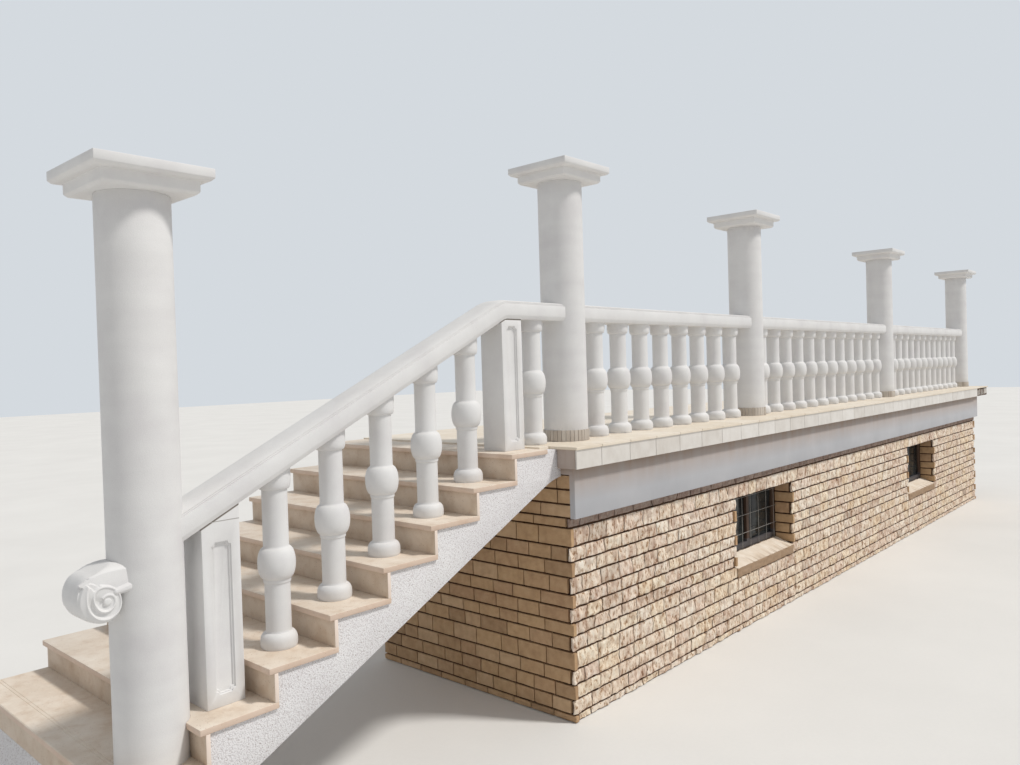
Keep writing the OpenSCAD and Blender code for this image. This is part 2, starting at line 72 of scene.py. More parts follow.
photo_width_px, focal_px = 1020, 809.5
yaw, pitch, roll = map(math.radians, (47.778, 0.918, -1.724))
standpoint = (-4.338, -3.431, 2.24)
camera_data = bpy.data.cameras.new("photo_camera")
camera_data.sensor_width = 36
camera_data.lens = focal_px / photo_width_px * camera_data.sensor_width
camera_data.clip_end = 200
camera = put("photo_camera", camera_data)
turns = [Matrix.Rotation(angle, 4, axis) for angle, axis in ((-yaw, "Z"), (math.pi / 2 - pitch, "X"), (roll, "Z"))]
camera.matrix_world = Matrix.Translation(standpoint) @ turns[0] @ turns[1] @ turns[2]
bpy.context.scene.camera = camera
print("lens", round(camera_data.lens, 2), "mm")

# %% [markdown]
# ## Light and floor
# Cast stone shows its form by soft shading, so the light is a bright even sky
# and one large soft sun from high in front. Together they light a surface at
# about the level at which a colour renders as it is written. The backdrop is
# white only where the camera looks past the object.

# %% Light and floor
class Bench:
    """A node tree, with short words for the nodes that are needed most."""
    def __init__(self, tree):
        self.tree = tree

    def add(self, kind, inputs=None, **settings):
        """The outputs of one new node. An input is either a plain value or the socket to link from."""
        made = self.tree.nodes.new(kind)
        for name, value in settings.items():
            setattr(made, name, value)
        for name, value in (inputs or {}).items():
            if isinstance(value, bpy.types.NodeSocket):
                self.tree.links.new(value, made.inputs[name])
            else:
                made.inputs[name].default_value = value
        return made.outputs

    def math(self, operation, *values):
        return self.add("ShaderNodeMath", dict(enumerate(values)), operation=operation)[0]

    def vector(self, operation, *values):
        made = self.add("ShaderNodeVectorMath", dict(enumerate(values)), operation=operation)
        return made["Value" if operation == "DOT_PRODUCT" else "Vector"]

    def span(self, value, low, high, to_low, to_high):
        """The value from low to high becomes to_low to to_high, and stays inside them."""
        names = ("Value", "From Min", "From Max", "To Min", "To Max")
        return self.add("ShaderNodeMapRange", dict(zip(names, (value, low, high, to_low, to_high))))[0]


def cleared(owner, bench=Bench):
    """A bench on the empty node tree of a material or a world."""
    owner.use_nodes = True
    owner.node_tree.nodes.clear()
    return bench(owner.node_tree)


def sky(world):
    """An even sky for the object, and plain white for the camera, mirrors and glass."""
    t = cleared(world)
    rays = t.add("ShaderNodeLightPath")
    seen = t.math("MAXIMUM", rays["Is Camera Ray"], rays["Is Glossy Ray"])
    seen = t.math("MAXIMUM", seen, rays["Is Transmission Ray"])
    light = t.add("ShaderNodeBackground", {"Color": (0.93, 0.96, 1.0, 1), "Strength": 0.5})[0]
    white = t.add("ShaderNodeBackground", {"Color": (0.66, 0.7, 0.74, 1), "Strength": 1.0})[0]
    t.add("ShaderNodeOutputWorld", {"Surface": t.add("ShaderNodeMixShader", {0: seen, 1: light, 2: white})[0]})


def plain_mesh(name, points, edges=(), faces=()):
    mesh = bpy.data.meshes.new(name)
    mesh.from_pydata([tuple(p) for p in points], edges, faces)
    return mesh


bpy.context.scene.world = bpy.data.worlds.new("soft_sky")
sky(bpy.context.scene.world)
sun_data = bpy.data.lights.new("soft_sun", "SUN")
sun_data.energy = 2.3
sun_data.angle = math.radians(7)
sun_data.color = (1.0, 0.975, 0.94)
sun = put("soft_sun", sun_data)
sun.rotation_euler = Vector((0.34, -0.56, 0.92)).to_track_quat("Z", "Y").to_euler()
bpy.context.scene.view_settings.view_transform = "Standard"
half = 60
floor_corners = [(-half, -half, 0), (half, -half, 0), (half, half, 0), (-half, half, 0)]
floor = put("studio_floor", plain_mesh("studio_floor", floor_corners, faces=[(0, 1, 2, 3)]))
print("light and floor are in place")

# %% [markdown]
# ## Mineral finishes
# Everything here is a mineral: cast stone, quarried stone, tile, plaster. Such
# a surface has three scales of detail: wide soft patches, a fine grain, and a
# bump that the grain gives. One recipe makes all three from Object
# coordinates, and each finish is that recipe with its own tones and sizes.

# %% Mineral recipe
def paint(red, green, blue):
    """A colour written as it looks on a screen, 0 to 255, made linear for a shader."""
    return tuple(((c / 255 + 0.055) / 1.055) ** 2.4 if c > 10 else c / 255 / 12.92 for c in (red, green, blue)) + (1,)


class Recipe(Bench):
    """A bench for a finish. Its colours are written as (red, green, blue)."""
    def ramp(self, factor, *tones):
        """Tones are (place from 0 to 1, red, green, blue) and blend into each other."""
        colour = self.add("ShaderNodeValToRGB", {"Fac": factor})["Color"]
        stops = colour.node.color_ramp.elements
        while len(stops) < len(tones):
            stops.new(0.5)
        for stop, (place, *tone) in zip(stops, tones):
            stop.position, stop.color = place, paint(*tone)
        return colour

    def mix(self, kind, factor, below, above):
        above = paint(*above) if isinstance(above, tuple) else above
        return self.add("ShaderNodeMix", {0: factor, 6: below, 7: above}, data_type="RGBA", blend_type=kind)[2]

    def darkened_by(self, colour, share, factor, *tones):
        return self.mix("MULTIPLY", share, colour, self.ramp(factor, *tones))

    def noise(self, where, scale, detail=4.0, rough=0.55, stretch=None):
        if stretch:
            where = self.add("ShaderNodeMapping", {"Vector": where, "Scale": stretch})[0]
        return self.add("ShaderNodeTexNoise", {
            "Vector": where, "Scale": scale, "Detail": detail, "Roughness": rough})["Fac"]

    def cells(self, where, scale):
        return self.add("ShaderNodeTexVoronoi", {"Vector": where, "Scale": scale, "Randomness": 1.0})["Distance"]

    def part(self, vector, axis):
        return self.add("ShaderNodeSeparateXYZ", {0: vector})[axis]

    def facing(self, axis):
        return self.part(self.add("ShaderNodeNewGeometry")["Normal"], axis)

    def tone(self):
        """The tone that each stone or tile carries."""
        return self.add("ShaderNodeAttribute", attribute_name="tone")["Fac"]

    def plus(self, height, other, times=1.0):
        """Adds another height, that many times, to the bump."""
        return self.math("MULTIPLY_ADD", other, times, height)

    def shade(self, **inputs):
        inputs = {name.replace("_", " "): value for name, value in inputs.items()}
        shader = self.add("ShaderNodeBsdfPrincipled", inputs)
        self.add("ShaderNodeOutputMaterial", {"Surface": shader[0]})


def mineral(name, tones, patch, grain, depth, rough, speckle, *layers, stretch=None):
    """Patches per metre, grains per metre, bump depth in metres, how rough, how speckled, and layers over it."""
    material = bpy.data.materials.new(name)
    t = cleared(material, Recipe)
    where = t.add("ShaderNodeTexCoord")["Object"]
    patches, grains = t.noise(where, patch, 5.0, stretch=stretch), t.noise(where, grain, 3.0, 0.6, stretch)
    fine = t.span(grains, 0.3, 0.7, 1 - speckle, 1.0)
    shading = t.add("ShaderNodeCombineColor", {0: fine, 1: fine, 2: fine})[0]
    colour = t.mix("MULTIPLY", 1.0, t.ramp(patches, *tones), shading)
    height = t.math("ADD", patches, grains)
    for layer in layers:
        colour, height = layer(t, where, colour, height)
    t.shade(
        Base_Color=colour, Roughness=t.span(grains, 0.3, 0.7, rough - 0.08, rough + 0.06), Specular_IOR_Level=0.35,
        Normal=t.add("ShaderNodeBump", {"Height": height, "Distance": depth, "Strength": 1.0})[0])
    return material


floor_tones = [(0.3, 222, 220, 216), (0.7, 228, 226, 222)]
floor.data.materials.append(mineral("studio_floor", floor_tones, 0.6, 40, 0.0004, 0.9, 0.02))
print("the recipe is ready")

# %% [markdown]
# ## Cast stone
# The columns, rails and balusters are white cement cast in moulds. The skin is
# almost even: faint grey clouds where the mix lay differently, a fine grain of
# sand, and a little warm dust on what faces up.

# %% Cast stone
def veil(over, share_of):
    """A layer that lays a colour over the recipe, by the share that share_of(t, where) gives."""
    return lambda t, where, colour, height: (t.mix("MIX", share_of(t, where), colour, over), height)


def trowel_rings(t, where, colour, height):
    """Level rings left by the mould, faint and uneven."""
    rings = t.noise(where, 2.2, 2.0, stretch=(0.5, 0.5, 5.0))
    return t.darkened_by(colour, 0.4, rings, (0.35, 246, 245, 246), (0.6, 255, 255, 255)), t.plus(height, rings, 1.5)


def lying_dust(t, where):
    """On faces that look up, more or less of it."""
    return t.math("MULTIPLY", t.span(t.facing(2), 0.5, 1.0, 0.0, 0.26), t.noise(where, 7.0))


dust = veil((208, 199, 184), lying_dust)
white_tones = [(0.3, 217, 215, 215), (0.5, 223, 222, 221), (0.72, 228, 227, 226)]
cast_stone = mineral("cast_stone", white_tones, 5.0, 320, 0.0006, 0.62, 0.05, dust)
column_skin = mineral("column_skin", white_tones, 4.0, 260, 0.0007, 0.66, 0.05, trowel_rings)
print("cast stone and column skin")

# %% [markdown]
# ## Quarried stone, mortar, plaster and tile
# Each stone of the base has its own tone, which comes with it as an attribute
# named "tone", so two neighbours never look cut from one block. Split faces
# are streaked where the chisel ran, with brown flecks and painted shade in their
# hollows. The side walls are smoother, their stone painted darker as painted
# shade, and the top course is painted dark, partly its own duller stone, partly
# painted shade under the beam. The flight is roughcast: small pebbles thrown in
# plaster, with painted shade between them. Treads and risers are a beige tile
# with fine pits, with painted shade on the risers and on the upright edges of
# the treads, and the terrace's edge is a paler one.

# %% Base and stair finishes
def own_tone(share, *tones):
    """Blends in the tone that each stone or tile carries."""
    return lambda t, where, colour, height: (t.mix("MIX", share, colour, t.ramp(t.tone(), *tones)), height)


def chisel_streaks_and_shade(t, where, colour, height):
    """Chisel streaks, drawn out where the chisel ran down, with their hollows painted brown: the stone's own brown
    flecks and painted shade.
    """
    hollows = t.noise(where, 54, 4.0, 0.66, (1, 1, 0.42))
    # Brown in the low hollows of the bump: the stone's own flecks and painted shade
    flecks_and_hollow_shade = (0.28, 104, 76, 56), (0.38, 200, 174, 150), (0.47, 252, 248, 243), (0.7, 255, 255, 255)
    return t.darkened_by(colour, 1.0, hollows, *flecks_and_hollow_shade), t.plus(height, hollows, 3.2)


def pebbles(t, where, colour, height):
    """Rounded grains about 4 mm apart, with a few brown ones among the white. Each grain is painted greyer towards its
    rim, as painted shade between grains.
    """
    grains = t.cells(where, 150)
    # Painted shade: greyer towards each grain's rim, between the grains
    colour = t.darkened_by(colour, 1.0, grains, (0.4, 255, 255, 255), (0.9, 222, 218, 218))
    colour = t.darkened_by(colour, 1.0, t.noise(where, 130, 2.0), (0.61, 255, 255, 255), (0.69, 180, 164, 158))
    return colour, t.plus(height, t.span(grains, 0.15, 0.75, 1.0, 0.0))


def pits(t, where, colour, height):
    """Soft clouds a hand across, and small open pits."""
    clouds = t.noise(where, 13.0, 6.0, 0.62)
    colour = t.darkened_by(colour, 0.6, clouds, (0.32, 228, 214, 200), (0.5, 248, 244, 240), (0.7, 255, 255, 254))
    holes = t.span(t.cells(where, 62), 0.05, 0.14, 0.0, 1.0)
    return t.darkened_by(colour, 1.0, holes, (0.0, 176, 154, 134), (1.0, 255, 255, 255)), t.plus(height, holes)


def painted_overhang_shade(t, where):
    """Painted shade: most just under the beam's upper edge, in the shade of the overhanging edge tiles, and less and
    less downwards.
    """
    runs = t.noise(where, 9.0, 3.0, stretch=(1, 1, 0.15))
    level = t.span(t.part(where, 2), beam_foot + 0.1, beam_foot + 0.34, 0.0, 1.0)
    return t.math("MULTIPLY", level, t.span(runs, 0.3, 0.7, 0.7, 1.1))


beam_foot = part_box("edge_beam")[0].z
# The top course, with tone near 0, is painted dull and dark all over: partly its own
# duller stone, partly painted shade under the beam
dull_and_shaded_course = veil((156, 133, 123), lambda t, where: t.span(t.tone(), 0.05, 0.07, 0.7, 0.0))
# Painted shade: the faces of a sill that do not look up, its broken edges,
# are painted brown, and its top stays pale
shaded_sill_sides = veil((148, 119, 90), lambda t, where: t.span(t.facing(2), 0.6, 0.88, 0.9, 0.0))
# Painted shade: the upright edges of a tread are painted duller and pinker
# than its top
shaded_tread_edges = veil((204, 174, 154), lambda t, where: t.span(t.facing(2), 0.2, 0.7, 0.55, 0.0))
# A riser's end at the stair's open side is rubbed pale with plaster
pale_ends = veil((236, 220, 208), lambda t, where: t.span(t.facing(1), -0.9, -0.6, 0.85, 0.0))
split_stone = mineral(
    "split_stone", [(0.4, 186, 158, 138), (0.5, 247, 233, 215), (0.62, 255, 250, 238)], 21, 300, 0.0046, 0.88, 0.1,
    own_tone(
        # Tones up to 0.05 are the top course, painted dark: its own stone and painted shade under the beam
        0.48, (0.0, 60, 44, 40), (0.05, 84, 66, 60), (0.09, 204, 180, 162), (0.2, 234, 210, 194),
        (0.32, 248, 233, 212), (0.48, 230, 206, 192), (0.56, 248, 232, 214), (0.66, 252, 238, 214),
        (0.8, 238, 212, 176), (0.87, 243, 228, 216), (1.0, 254, 246, 232)),
    chisel_streaks_and_shade, dull_and_shaded_course, stretch=(1, 1, 0.5))
# Sawn stone for the side walls and jambs: smoother, with tones painted darker and browner as painted shade
sawn_stone_shaded = mineral(
    "sawn_stone_shaded", [(0.3, 158, 127, 96), (0.5, 194, 161, 124), (0.7, 214, 184, 148)], 17, 240, 0.0022, 0.86, 0.18,
    own_tone(0.6, (0.0, 148, 118, 90), (0.3, 184, 150, 114), (0.6, 200, 166, 126), (0.8, 178, 142, 110),
             (1.0, 212, 182, 146)))
mortar = mineral("mortar", [(0.3, 68, 46, 32), (0.7, 102, 74, 52)], 14, 240, 0.002, 0.95, 0.3)
# The beam's plaster is paler; its grey-lilac tones are partly painted shade
band_render_shaded = mineral(
    "band_render_shaded", [(0.3, 178, 179, 183), (0.7, 190, 190, 193)], 2.4, 180, 0.0008, 0.8, 0.06,
    # Painted shade: brown under the beam's upper edge, below the overhanging edge tiles
    veil((164, 141, 123), painted_overhang_shade))
slab_concrete = mineral("slab_concrete", [(0.3, 150, 143, 134), (0.7, 178, 171, 160)], 7, 160, 0.002, 0.92, 0.2)
dab_mortar = mineral("dab_mortar", [(0.3, 192, 186, 178), (0.7, 224, 219, 212)], 9, 160, 0.002, 0.9, 0.2)
roughcast = mineral("roughcast", [(0.3, 230, 228, 229), (0.7, 240, 239, 239)], 3, 300, 0.0014, 0.85, 0.06, pebbles)
stair_tile = mineral(
    "stair_tile", [(0.3, 222, 207, 189), (0.7, 236, 225, 211)], 5, 260, 0.0007, 0.55, 0.1, pits, shaded_tread_edges)
# The risers are the tread's tile, painted darker as painted shade
riser_tile_shaded = mineral(
    "riser_tile_shaded", [(0.3, 208, 190, 170), (0.7, 224, 209, 192)], 5, 260, 0.0007, 0.6, 0.1, pits, pale_ends)
edge_tile = mineral(
    "edge_tile", [(0.36, 200, 193, 185), (0.6, 228, 224, 219)], 11, 240, 0.0005, 0.5, 0.08,
    # Tone 0 is the near return tile, painted brown-grey as painted shade
    own_tone(0.66, (0.0, 140, 114, 98), (0.18, 206, 199, 190), (0.6, 218, 213, 206), (1.0, 230, 226, 220)),
    stretch=(1, 1, 0.7))
floor_tile = mineral(
    "floor_tile", [(0.3, 216, 200, 178), (0.7, 234, 223, 206)], 9, 240, 0.0005, 0.5, 0.08,
    own_tone(0.5, (0.0, 220, 205, 184), (0.5, 231, 219, 201), (1.0, 240, 231, 217)))
skirting_tile = mineral(
    "skirting_tile", [(0.3, 178, 167, 155), (0.7, 206, 199, 190)], 12, 240, 0.0006, 0.6, 0.1,
    own_tone(0.6, (0.0, 168, 156, 144), (0.5, 190, 181, 171), (1.0, 212, 206, 198)))
sill_stone = mineral(
    "sill_stone", [(0.3, 226, 207, 184), (0.7, 247, 235, 219)], 9, 200, 0.0016, 0.75, 0.1, shaded_sill_sides)
print("base and stair finishes")

# %% [markdown]
# ## Wood, wire and glass
# The cellar windows are small and dark: brown wooden frames, thin glass
# painted dark as painted shade of the unlit cellar behind it, and a grille of
# galvanised wire in front of the near one.

# %% Window finishes
grey_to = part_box("window_frames")[0].z + 0.075
# The lowest member of a frame has weathered to a bluish grey
weathered_foot = veil(
    (76, 75, 78), lambda t, where: t.span(t.part(where, 2), grey_to - 0.004, grey_to + 0.004, 0.8, 0.0))
window_wood = mineral(
    "window_wood", [(0.3, 52, 37, 28), (0.7, 88, 64, 47)], 12, 300, 0.0006, 0.55, 0.2,
    weathered_foot, stretch=(1, 1, 0.2))
grille_wire = mineral("grille_wire", [(0.3, 136, 130, 124), (0.7, 170, 166, 160)], 30, 500, 0.0002, 0.5, 0.1)
# Opaque glass, its dark colour painted shade of the cellar behind it
window_glass = bpy.data.materials.new("window_glass")
t = cleared(window_glass, Recipe)
film = t.noise(t.add("ShaderNodeTexCoord")["Object"], 6.0, 5.0)
t.shade(
    Base_Color=t.ramp(film, (0.35, 24, 28, 30), (0.7, 52, 56, 56)), Roughness=t.span(film, 0.3, 0.7, 0.06, 0.22),
    Specular_IOR_Level=0.2)
print("window finishes")

# %% [markdown]
# ## Two helpers that put pieces in place
# A piece that stands for a CAD solid is booked with the frame: what it rides
# on, which finish it takes, and which solid it replaces. Many solids only need
# the soft edges that a real casting or tile has, so `softened` takes a copy of
# the CAD mesh, welds it, and rounds its edges.

# %% Booking and softening
def book(name, mesh, slot, *replaced, finish=None):
    """Puts a finished mesh on the model under the root body and hides the solids that it replaces."""
    if finish:
        mesh.materials.clear()
        mesh.materials.append(finish)
    made = put(name, mesh)
    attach(made, "root")
    if replaced:
        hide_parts(*replaced)
    mesh.calc_loop_triangles()
    print(f"{name}: {len(mesh.loop_triangles)} triangles")


def baked(mesh, *modifiers):
    """The mesh after these modifiers. Each is (kind, settings), or (tree, values of its named inputs)."""
    holder = put("holder", mesh)
    for kind, settings in modifiers:
        if isinstance(kind, str):
            made = holder.modifiers.new(kind, kind)
            for name, value in settings.items():
                setattr(made, name, value)
        else:
            made = holder.modifiers.new("grow", "NODES")
            made.node_group = kind
            for item in kind.interface.items_tree:
                if item.in_out == "INPUT" and item.name in settings:
                    made[item.identifier] = settings[item.name]
    graph = bpy.context.evaluated_depsgraph_get()
    result = bpy.data.meshes.new_from_object(
        holder.evaluated_get(graph), preserve_all_data_layers=True, depsgraph=graph)
    bpy.data.objects.remove(holder)
    return result


def shape_of(mesh):
    shape = bmesh.new()
    shape.from_mesh(mesh)
    return shape


def as_mesh(shape, name):
    mesh = bpy.data.meshes.new(name)
    shape.to_mesh(mesh)
    shape.free()
    return mesh


def welded(node):
    """A copy of a CAD mesh with its loose triangles joined and its flat faces whole."""
    shape = shape_of(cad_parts[node].data)
    bmesh.ops.remove_doubles(shape, verts=shape.verts, dist=1e-5)
    bmesh.ops.dissolve_limit(shape, angle_limit=math.radians(0.5), verts=shape.verts, edges=shape.edges)
    return as_mesh(shape, node + "_copy")


def smooth_to(mesh, degrees):
    mesh.shade_smooth()
    mesh.set_sharp_from_angle(angle=math.radians(degrees))
    return mesh


def rounded_edges(width):
    return "BEVEL", {"width": width, "segments": 2, "limit_method": "ANGLE", "angle_limit": math.radians(40)}


def softened(node, finish, slot, width):
    book(node + "_soft", smooth_to(baked(welded(node), rounded_edges(width)), 45), slot, node, finish=finish)


print("helpers are ready")

# %% [markdown]
# ## Sizes taken from the CAD
# Nothing here is measured twice. Faces, edges and axes are read from the boxes
# of the CAD solids, so every new piece lands where its solid is.

# %% Sizes
def low(node):
    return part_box(node)[0]


def high(node):
    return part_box(node)[1]


def middle(node):
    return (low(node) + high(node)) / 2


terrace_top = high("floor_tiles").z
column_x = [middle(f"column_{i}").x for i in range(1, 6)]
wall_left, wall_front, wall_top = low("front_wall").x, low("front_wall").y, high("front_wall").z
wall_right = high("front_wall").x
wall_back = high("rear_wall").y
side_top = high("return_wall").z
window_width = 1.12
window_lefts = (low("window_sills").x, high("window_sills").x - window_width)
window_foot, window_head = low("window_frames").z, high("window_frames").z
sill_foot = low("window_sills").z
reveal = low("window_frames").y - wall_front
print("terrace top", round(terrace_top, 3), "columns at", [round(x, 3) for x in column_x])

# %% [markdown]
# ## A tree that lays blocks
# Stones and tiles are all blocks: each has a middle, a size, a tone and a turn
# about the vertical. Geometry Nodes put one gridded block on each point. Then
# every face is pressed inwards by noise, and every edge a little more, so that
# a stone looks split and a tile looks cut, and no block grows past its size.

# %% Block tree
def new_tree(name, kinds):
    """A bench on a new tree with these inputs, a mesh and a finish, and the sockets that they come from."""
    tree = bpy.data.node_groups.new(name, "GeometryNodeTree")
    tree.is_modifier = True
    for item, kind in {"Mesh": "Geometry", **kinds, "Finish": "Material"}.items():
        tree.interface.new_socket(name=item, in_out="INPUT", socket_type="NodeSocket" + kind)
    tree.interface.new_socket(name="Mesh", in_out="OUTPUT", socket_type="NodeSocketGeometry")
    t = Bench(tree)
    return t, t.add("NodeGroupInput")


def finish_tree(t, given, geometry):
    solid = t.add("GeometryNodeSetMaterial", {"Geometry": geometry, "Material": given["Finish"]})[0]
    t.add("NodeGroupOutput", {"Mesh": solid})
    return t.tree


def copies(t, mesh, instance, inputs=None):
    """The instance on each point of the mesh, made real."""
    points = t.add("GeometryNodeMeshToPoints", {"Mesh": mesh})[0]
    stood = t.add("GeometryNodeInstanceOnPoints", {"Points": points, "Instance": instance, **(inputs or {})})[0]
    return t.add("GeometryNodeRealizeInstances", {"Geometry": stood})[0]


def named(t, name, kind):
    return t.add("GeometryNodeInputNamedAttribute", {"Name": name}, data_type=kind)["Attribute"]


def block_tree():
    t, given = new_tree("lay_blocks", {
        "Cuts across": "Int", "Cuts up": "Int", "Split depth": "Float", "Edge loss": "Float", "Grain size": "Float",
        "Seed": "Int"})
    block = t.add("GeometryNodeMeshCube", {
        "Size": (1, 1, 1), "Vertices X": given["Cuts across"], "Vertices Y": 2, "Vertices Z": given["Cuts up"]})["Mesh"]
    place = t.add("GeometryNodeInputPosition")[0]
    block = t.add("GeometryNodeStoreNamedAttribute", {
        "Geometry": block, "Name": "within", "Value": place}, data_type="FLOAT_VECTOR", domain="POINT")[0]
    turn, within = named(t, "turn", "FLOAT"), named(t, "within", "FLOAT_VECTOR")
    laid = copies(t, given["Mesh"], block, {
        "Rotation": t.add("ShaderNodeCombineXYZ", {"Z": turn})[0], "Scale": named(t, "size", "FLOAT_VECTOR")})
    on_face = t.vector("SIGN", t.vector("SUBTRACT", t.vector("ABSOLUTE", within), (0.49, 0.49, 0.49)))
    on_face = t.vector("MAXIMUM", on_face, (0, 0, 0))
    at_edge = t.math("GREATER_THAN", t.vector("DOT_PRODUCT", on_face, (1, 1, 1)), 1.5)
    where = t.vector("MULTIPLY", place, (1, 1, 0.7))

    def noise(scale, detail):
        return t.add("ShaderNodeTexNoise", {
            "Vector": where, "W": given["Seed"], "Scale": scale, "Detail": detail}, noise_dimensions="4D")["Fac"]

    split = t.math("MULTIPLY", t.span(noise(given["Grain size"], 2.0), 0.32, 0.68, 0.0, 1.0), given["Split depth"])
    worn = t.math("MULTIPLY", t.span(noise(31.0, 1.0), 0.3, 0.7, 0.45, 1.0), given["Edge loss"])
    worn = t.math("MULTIPLY", worn, at_edge)
    depth = t.add("ShaderNodeCombineXYZ", {"X": worn, "Y": t.math("ADD", split, worn), "Z": worn})[0]
    inward = t.vector("MULTIPLY", t.vector("MULTIPLY", t.vector("SIGN", within), on_face), depth)
    inward = t.vector("MULTIPLY", inward, (-1, -1, -1))
    inward = t.add("ShaderNodeVectorRotate", {"Vector": inward, "Angle": turn}, rotation_type="Z_AXIS")[0]
    return finish_tree(t, given, t.add("GeometryNodeSetPosition", {"Geometry": laid, "Offset": inward})[0])


lay_blocks = block_tree()


def blocks_laid(blocks, finish, cuts, depth, edge, grain, seed, *modifiers):
    """One mesh of blocks, each (middle, size, turn, tone). The rest are the tree's inputs, in its order."""
    mesh = plain_mesh("block_points", [b[0] for b in blocks])
    for name, kind, key, values in (
            ("size", "FLOAT_VECTOR", "vector", [c for b in blocks for c in b[1]]),
            ("turn", "FLOAT", "value", [b[2] for b in blocks]),
            ("tone", "FLOAT", "value", [b[3] for b in blocks])):
        mesh.attributes.new(name, kind, "POINT").data.foreach_set(key, values)
    values = {
        "Cuts across": cuts[0], "Cuts up": cuts[1], "Split depth": depth, "Edge loss": edge, "Grain size": grain,
        "Seed": seed, "Finish": finish}
    return baked(mesh, (lay_blocks, values), *modifiers)


print("block tree has", len(lay_blocks.nodes), "nodes")

# %% [markdown]
# ## Laying the courses
# A course is one row of stones. The heights of the courses vary as they do on
# the real wall, and the stones are about 200 mm long with broken joints. They
# are slips about 35 mm thick, so at a corner one course shows the end of the
# slip from the other face, and the next course covers it.

# %% Courses
bed_joint, end_joint, slip = 0.009, 0.005, 0.036
corner_lap = slip + 0.007
apron_foot = sill_foot - 0.098
front_lines = [
    0.0, 0.048, 0.142, 0.236, 0.33, 0.424, 0.516, 0.628, 0.721, 0.809, 0.918, 1.015, 1.1, 1.231, wall_top]
for level in (apron_foot, sill_foot, window_head):
    nearest = min(range(1, len(front_lines) - 1), key=lambda i: abs(front_lines[i] - level))
    front_lines[nearest] = level
side_lines = front_lines[:-1] + [wall_top, 1.381, 1.474, side_top]
shortest, longest, least_last = 0.15, 0.25, 0.09
split_look = (split_stone, (9, 7), 0.019, 0.004, 18.0, 3)
sawn_look = (sawn_stone_shaded, (6, 5), 0.003, 0.003, 18.0, 3)


def stone_cuts(start, end, dice):
    """Where a run of one course is cut into stones."""
    cuts = [start]
    length = dice.uniform(0.1, longest)
    while cuts[-1] + length < end - least_last:
        cuts.append(cuts[-1] + length)
        length = dice.uniform(shortest, longest)
    return cuts + [end]


def lay_face(origin, along, lines, runs, seed, dark_above=9.0):
    """Blocks of one wall face. runs(low_z, high_z, i) gives the runs of course i as (start, end)."""
    dice = random.Random(seed)
    into = Vector((-along.y, along.x, 0))
    blocks = []
    for i, (z0, z1) in enumerate(zip(lines, lines[1:])):
        for start, end in runs(z0, z1, i):
            cuts = stone_cuts(start, end, dice)
            for a, b in zip(cuts, cuts[1:]):
                a, b = a + (a > start) * end_joint / 2, b - (b < end) * end_joint / 2
                at = origin + along * (a + b) / 2 + into * slip / 2
                # Courses above dark_above take a tone near 0, painted dark: partly their own duller stone, partly
                # painted shade under the beam
                tone = dice.uniform(0.0, 0.05) if z0 > dark_above else dice.uniform(0.07, 1.0)
                size = (b - a, slip, z1 - z0 - bed_joint)
                blocks.append(((at.x, at.y, (z0 + z1) / 2), size, math.atan2(along.y, along.x), tone))
    return blocks


def tucked(i):
    """How far a front run starts behind the corner, so that the side's slip shows its end."""
    return 0.0 if i % 2 else corner_lap


def beside_window(z0, z1):
    return z0 > apron_foot - 0.01 and z1 < window_head + 0.02


def front_runs(z0, z1, i):
    runs, start = [], wall_left + tucked(i)
    if beside_window(z0, z1):
        for left in window_lefts:
            runs.append((start, left - tucked(i)))
            start = left + window_width + tucked(i)
    return runs + [(start, wall_right - tucked(i))]


def jamb_runs(z0, z1, i):
    """Inside a window opening: the front slip's end first, in every other course."""
    return [(wall_front + i % 2 * corner_lap, wall_front + reveal)] if beside_window(z0, z1) else []


def turned_round(runs):
    """The same runs for a face that is laid from its far end."""
    return lambda *course: [(-b, -a) for a, b in runs(*course)]


def side_runs(z0, z1, i):
    """A side's run starts at the corner, or behind the front slip."""
    return [(wall_front + (corner_lap if i % 2 and z0 < wall_top - 0.001 else 0.0), wall_back)]


def wall_of(name, blocks, look, *replaced):
    book(name, blocks_laid(blocks, *look), "stone_cladding", *replaced)
    print(len(blocks), "stones in", name)


x_way, y_way = Vector((1, 0, 0)), Vector((0, 1, 0))
at_left, at_right = Vector((wall_left, 0, 0)), Vector((wall_right, 0, 0))
front = lay_face(y_way * wall_front, x_way, front_lines, front_runs, 3, wall_top - 0.07)
wall_of("front_stones", front, split_look, "front_wall")
wall_of(
    "return_stones", lay_face(at_left, -y_way, side_lines, turned_round(side_runs), 5), sawn_look, "return_wall")
wall_of("end_stones", lay_face(at_right, y_way, side_lines, side_runs, 6), sawn_look, "end_wall")
rear = lay_face(
    y_way * wall_back, -x_way, side_lines, lambda z0, z1, i: [(-wall_right + slip, -wall_left - slip)], 7)
wall_of("rear_stones", rear, (sawn_stone_shaded, (5, 4), *sawn_look[2:]), "rear_wall")
jambs = []
for left in window_lefts:
    jambs += lay_face(Vector((left + window_width, 0, 0)), -y_way, front_lines, turned_round(jamb_runs), 11)
    jambs += lay_face(Vector((left, 0, 0)), y_way, front_lines, jamb_runs, 12)
wall_of("window_jamb_stones", jambs, sawn_look)

# %% [markdown]
# ## Mortar behind the stones
# The joints are raked out, so the mortar lies a little behind the faces of the
# stones. It is the CAD wall itself with each outer face moved back.

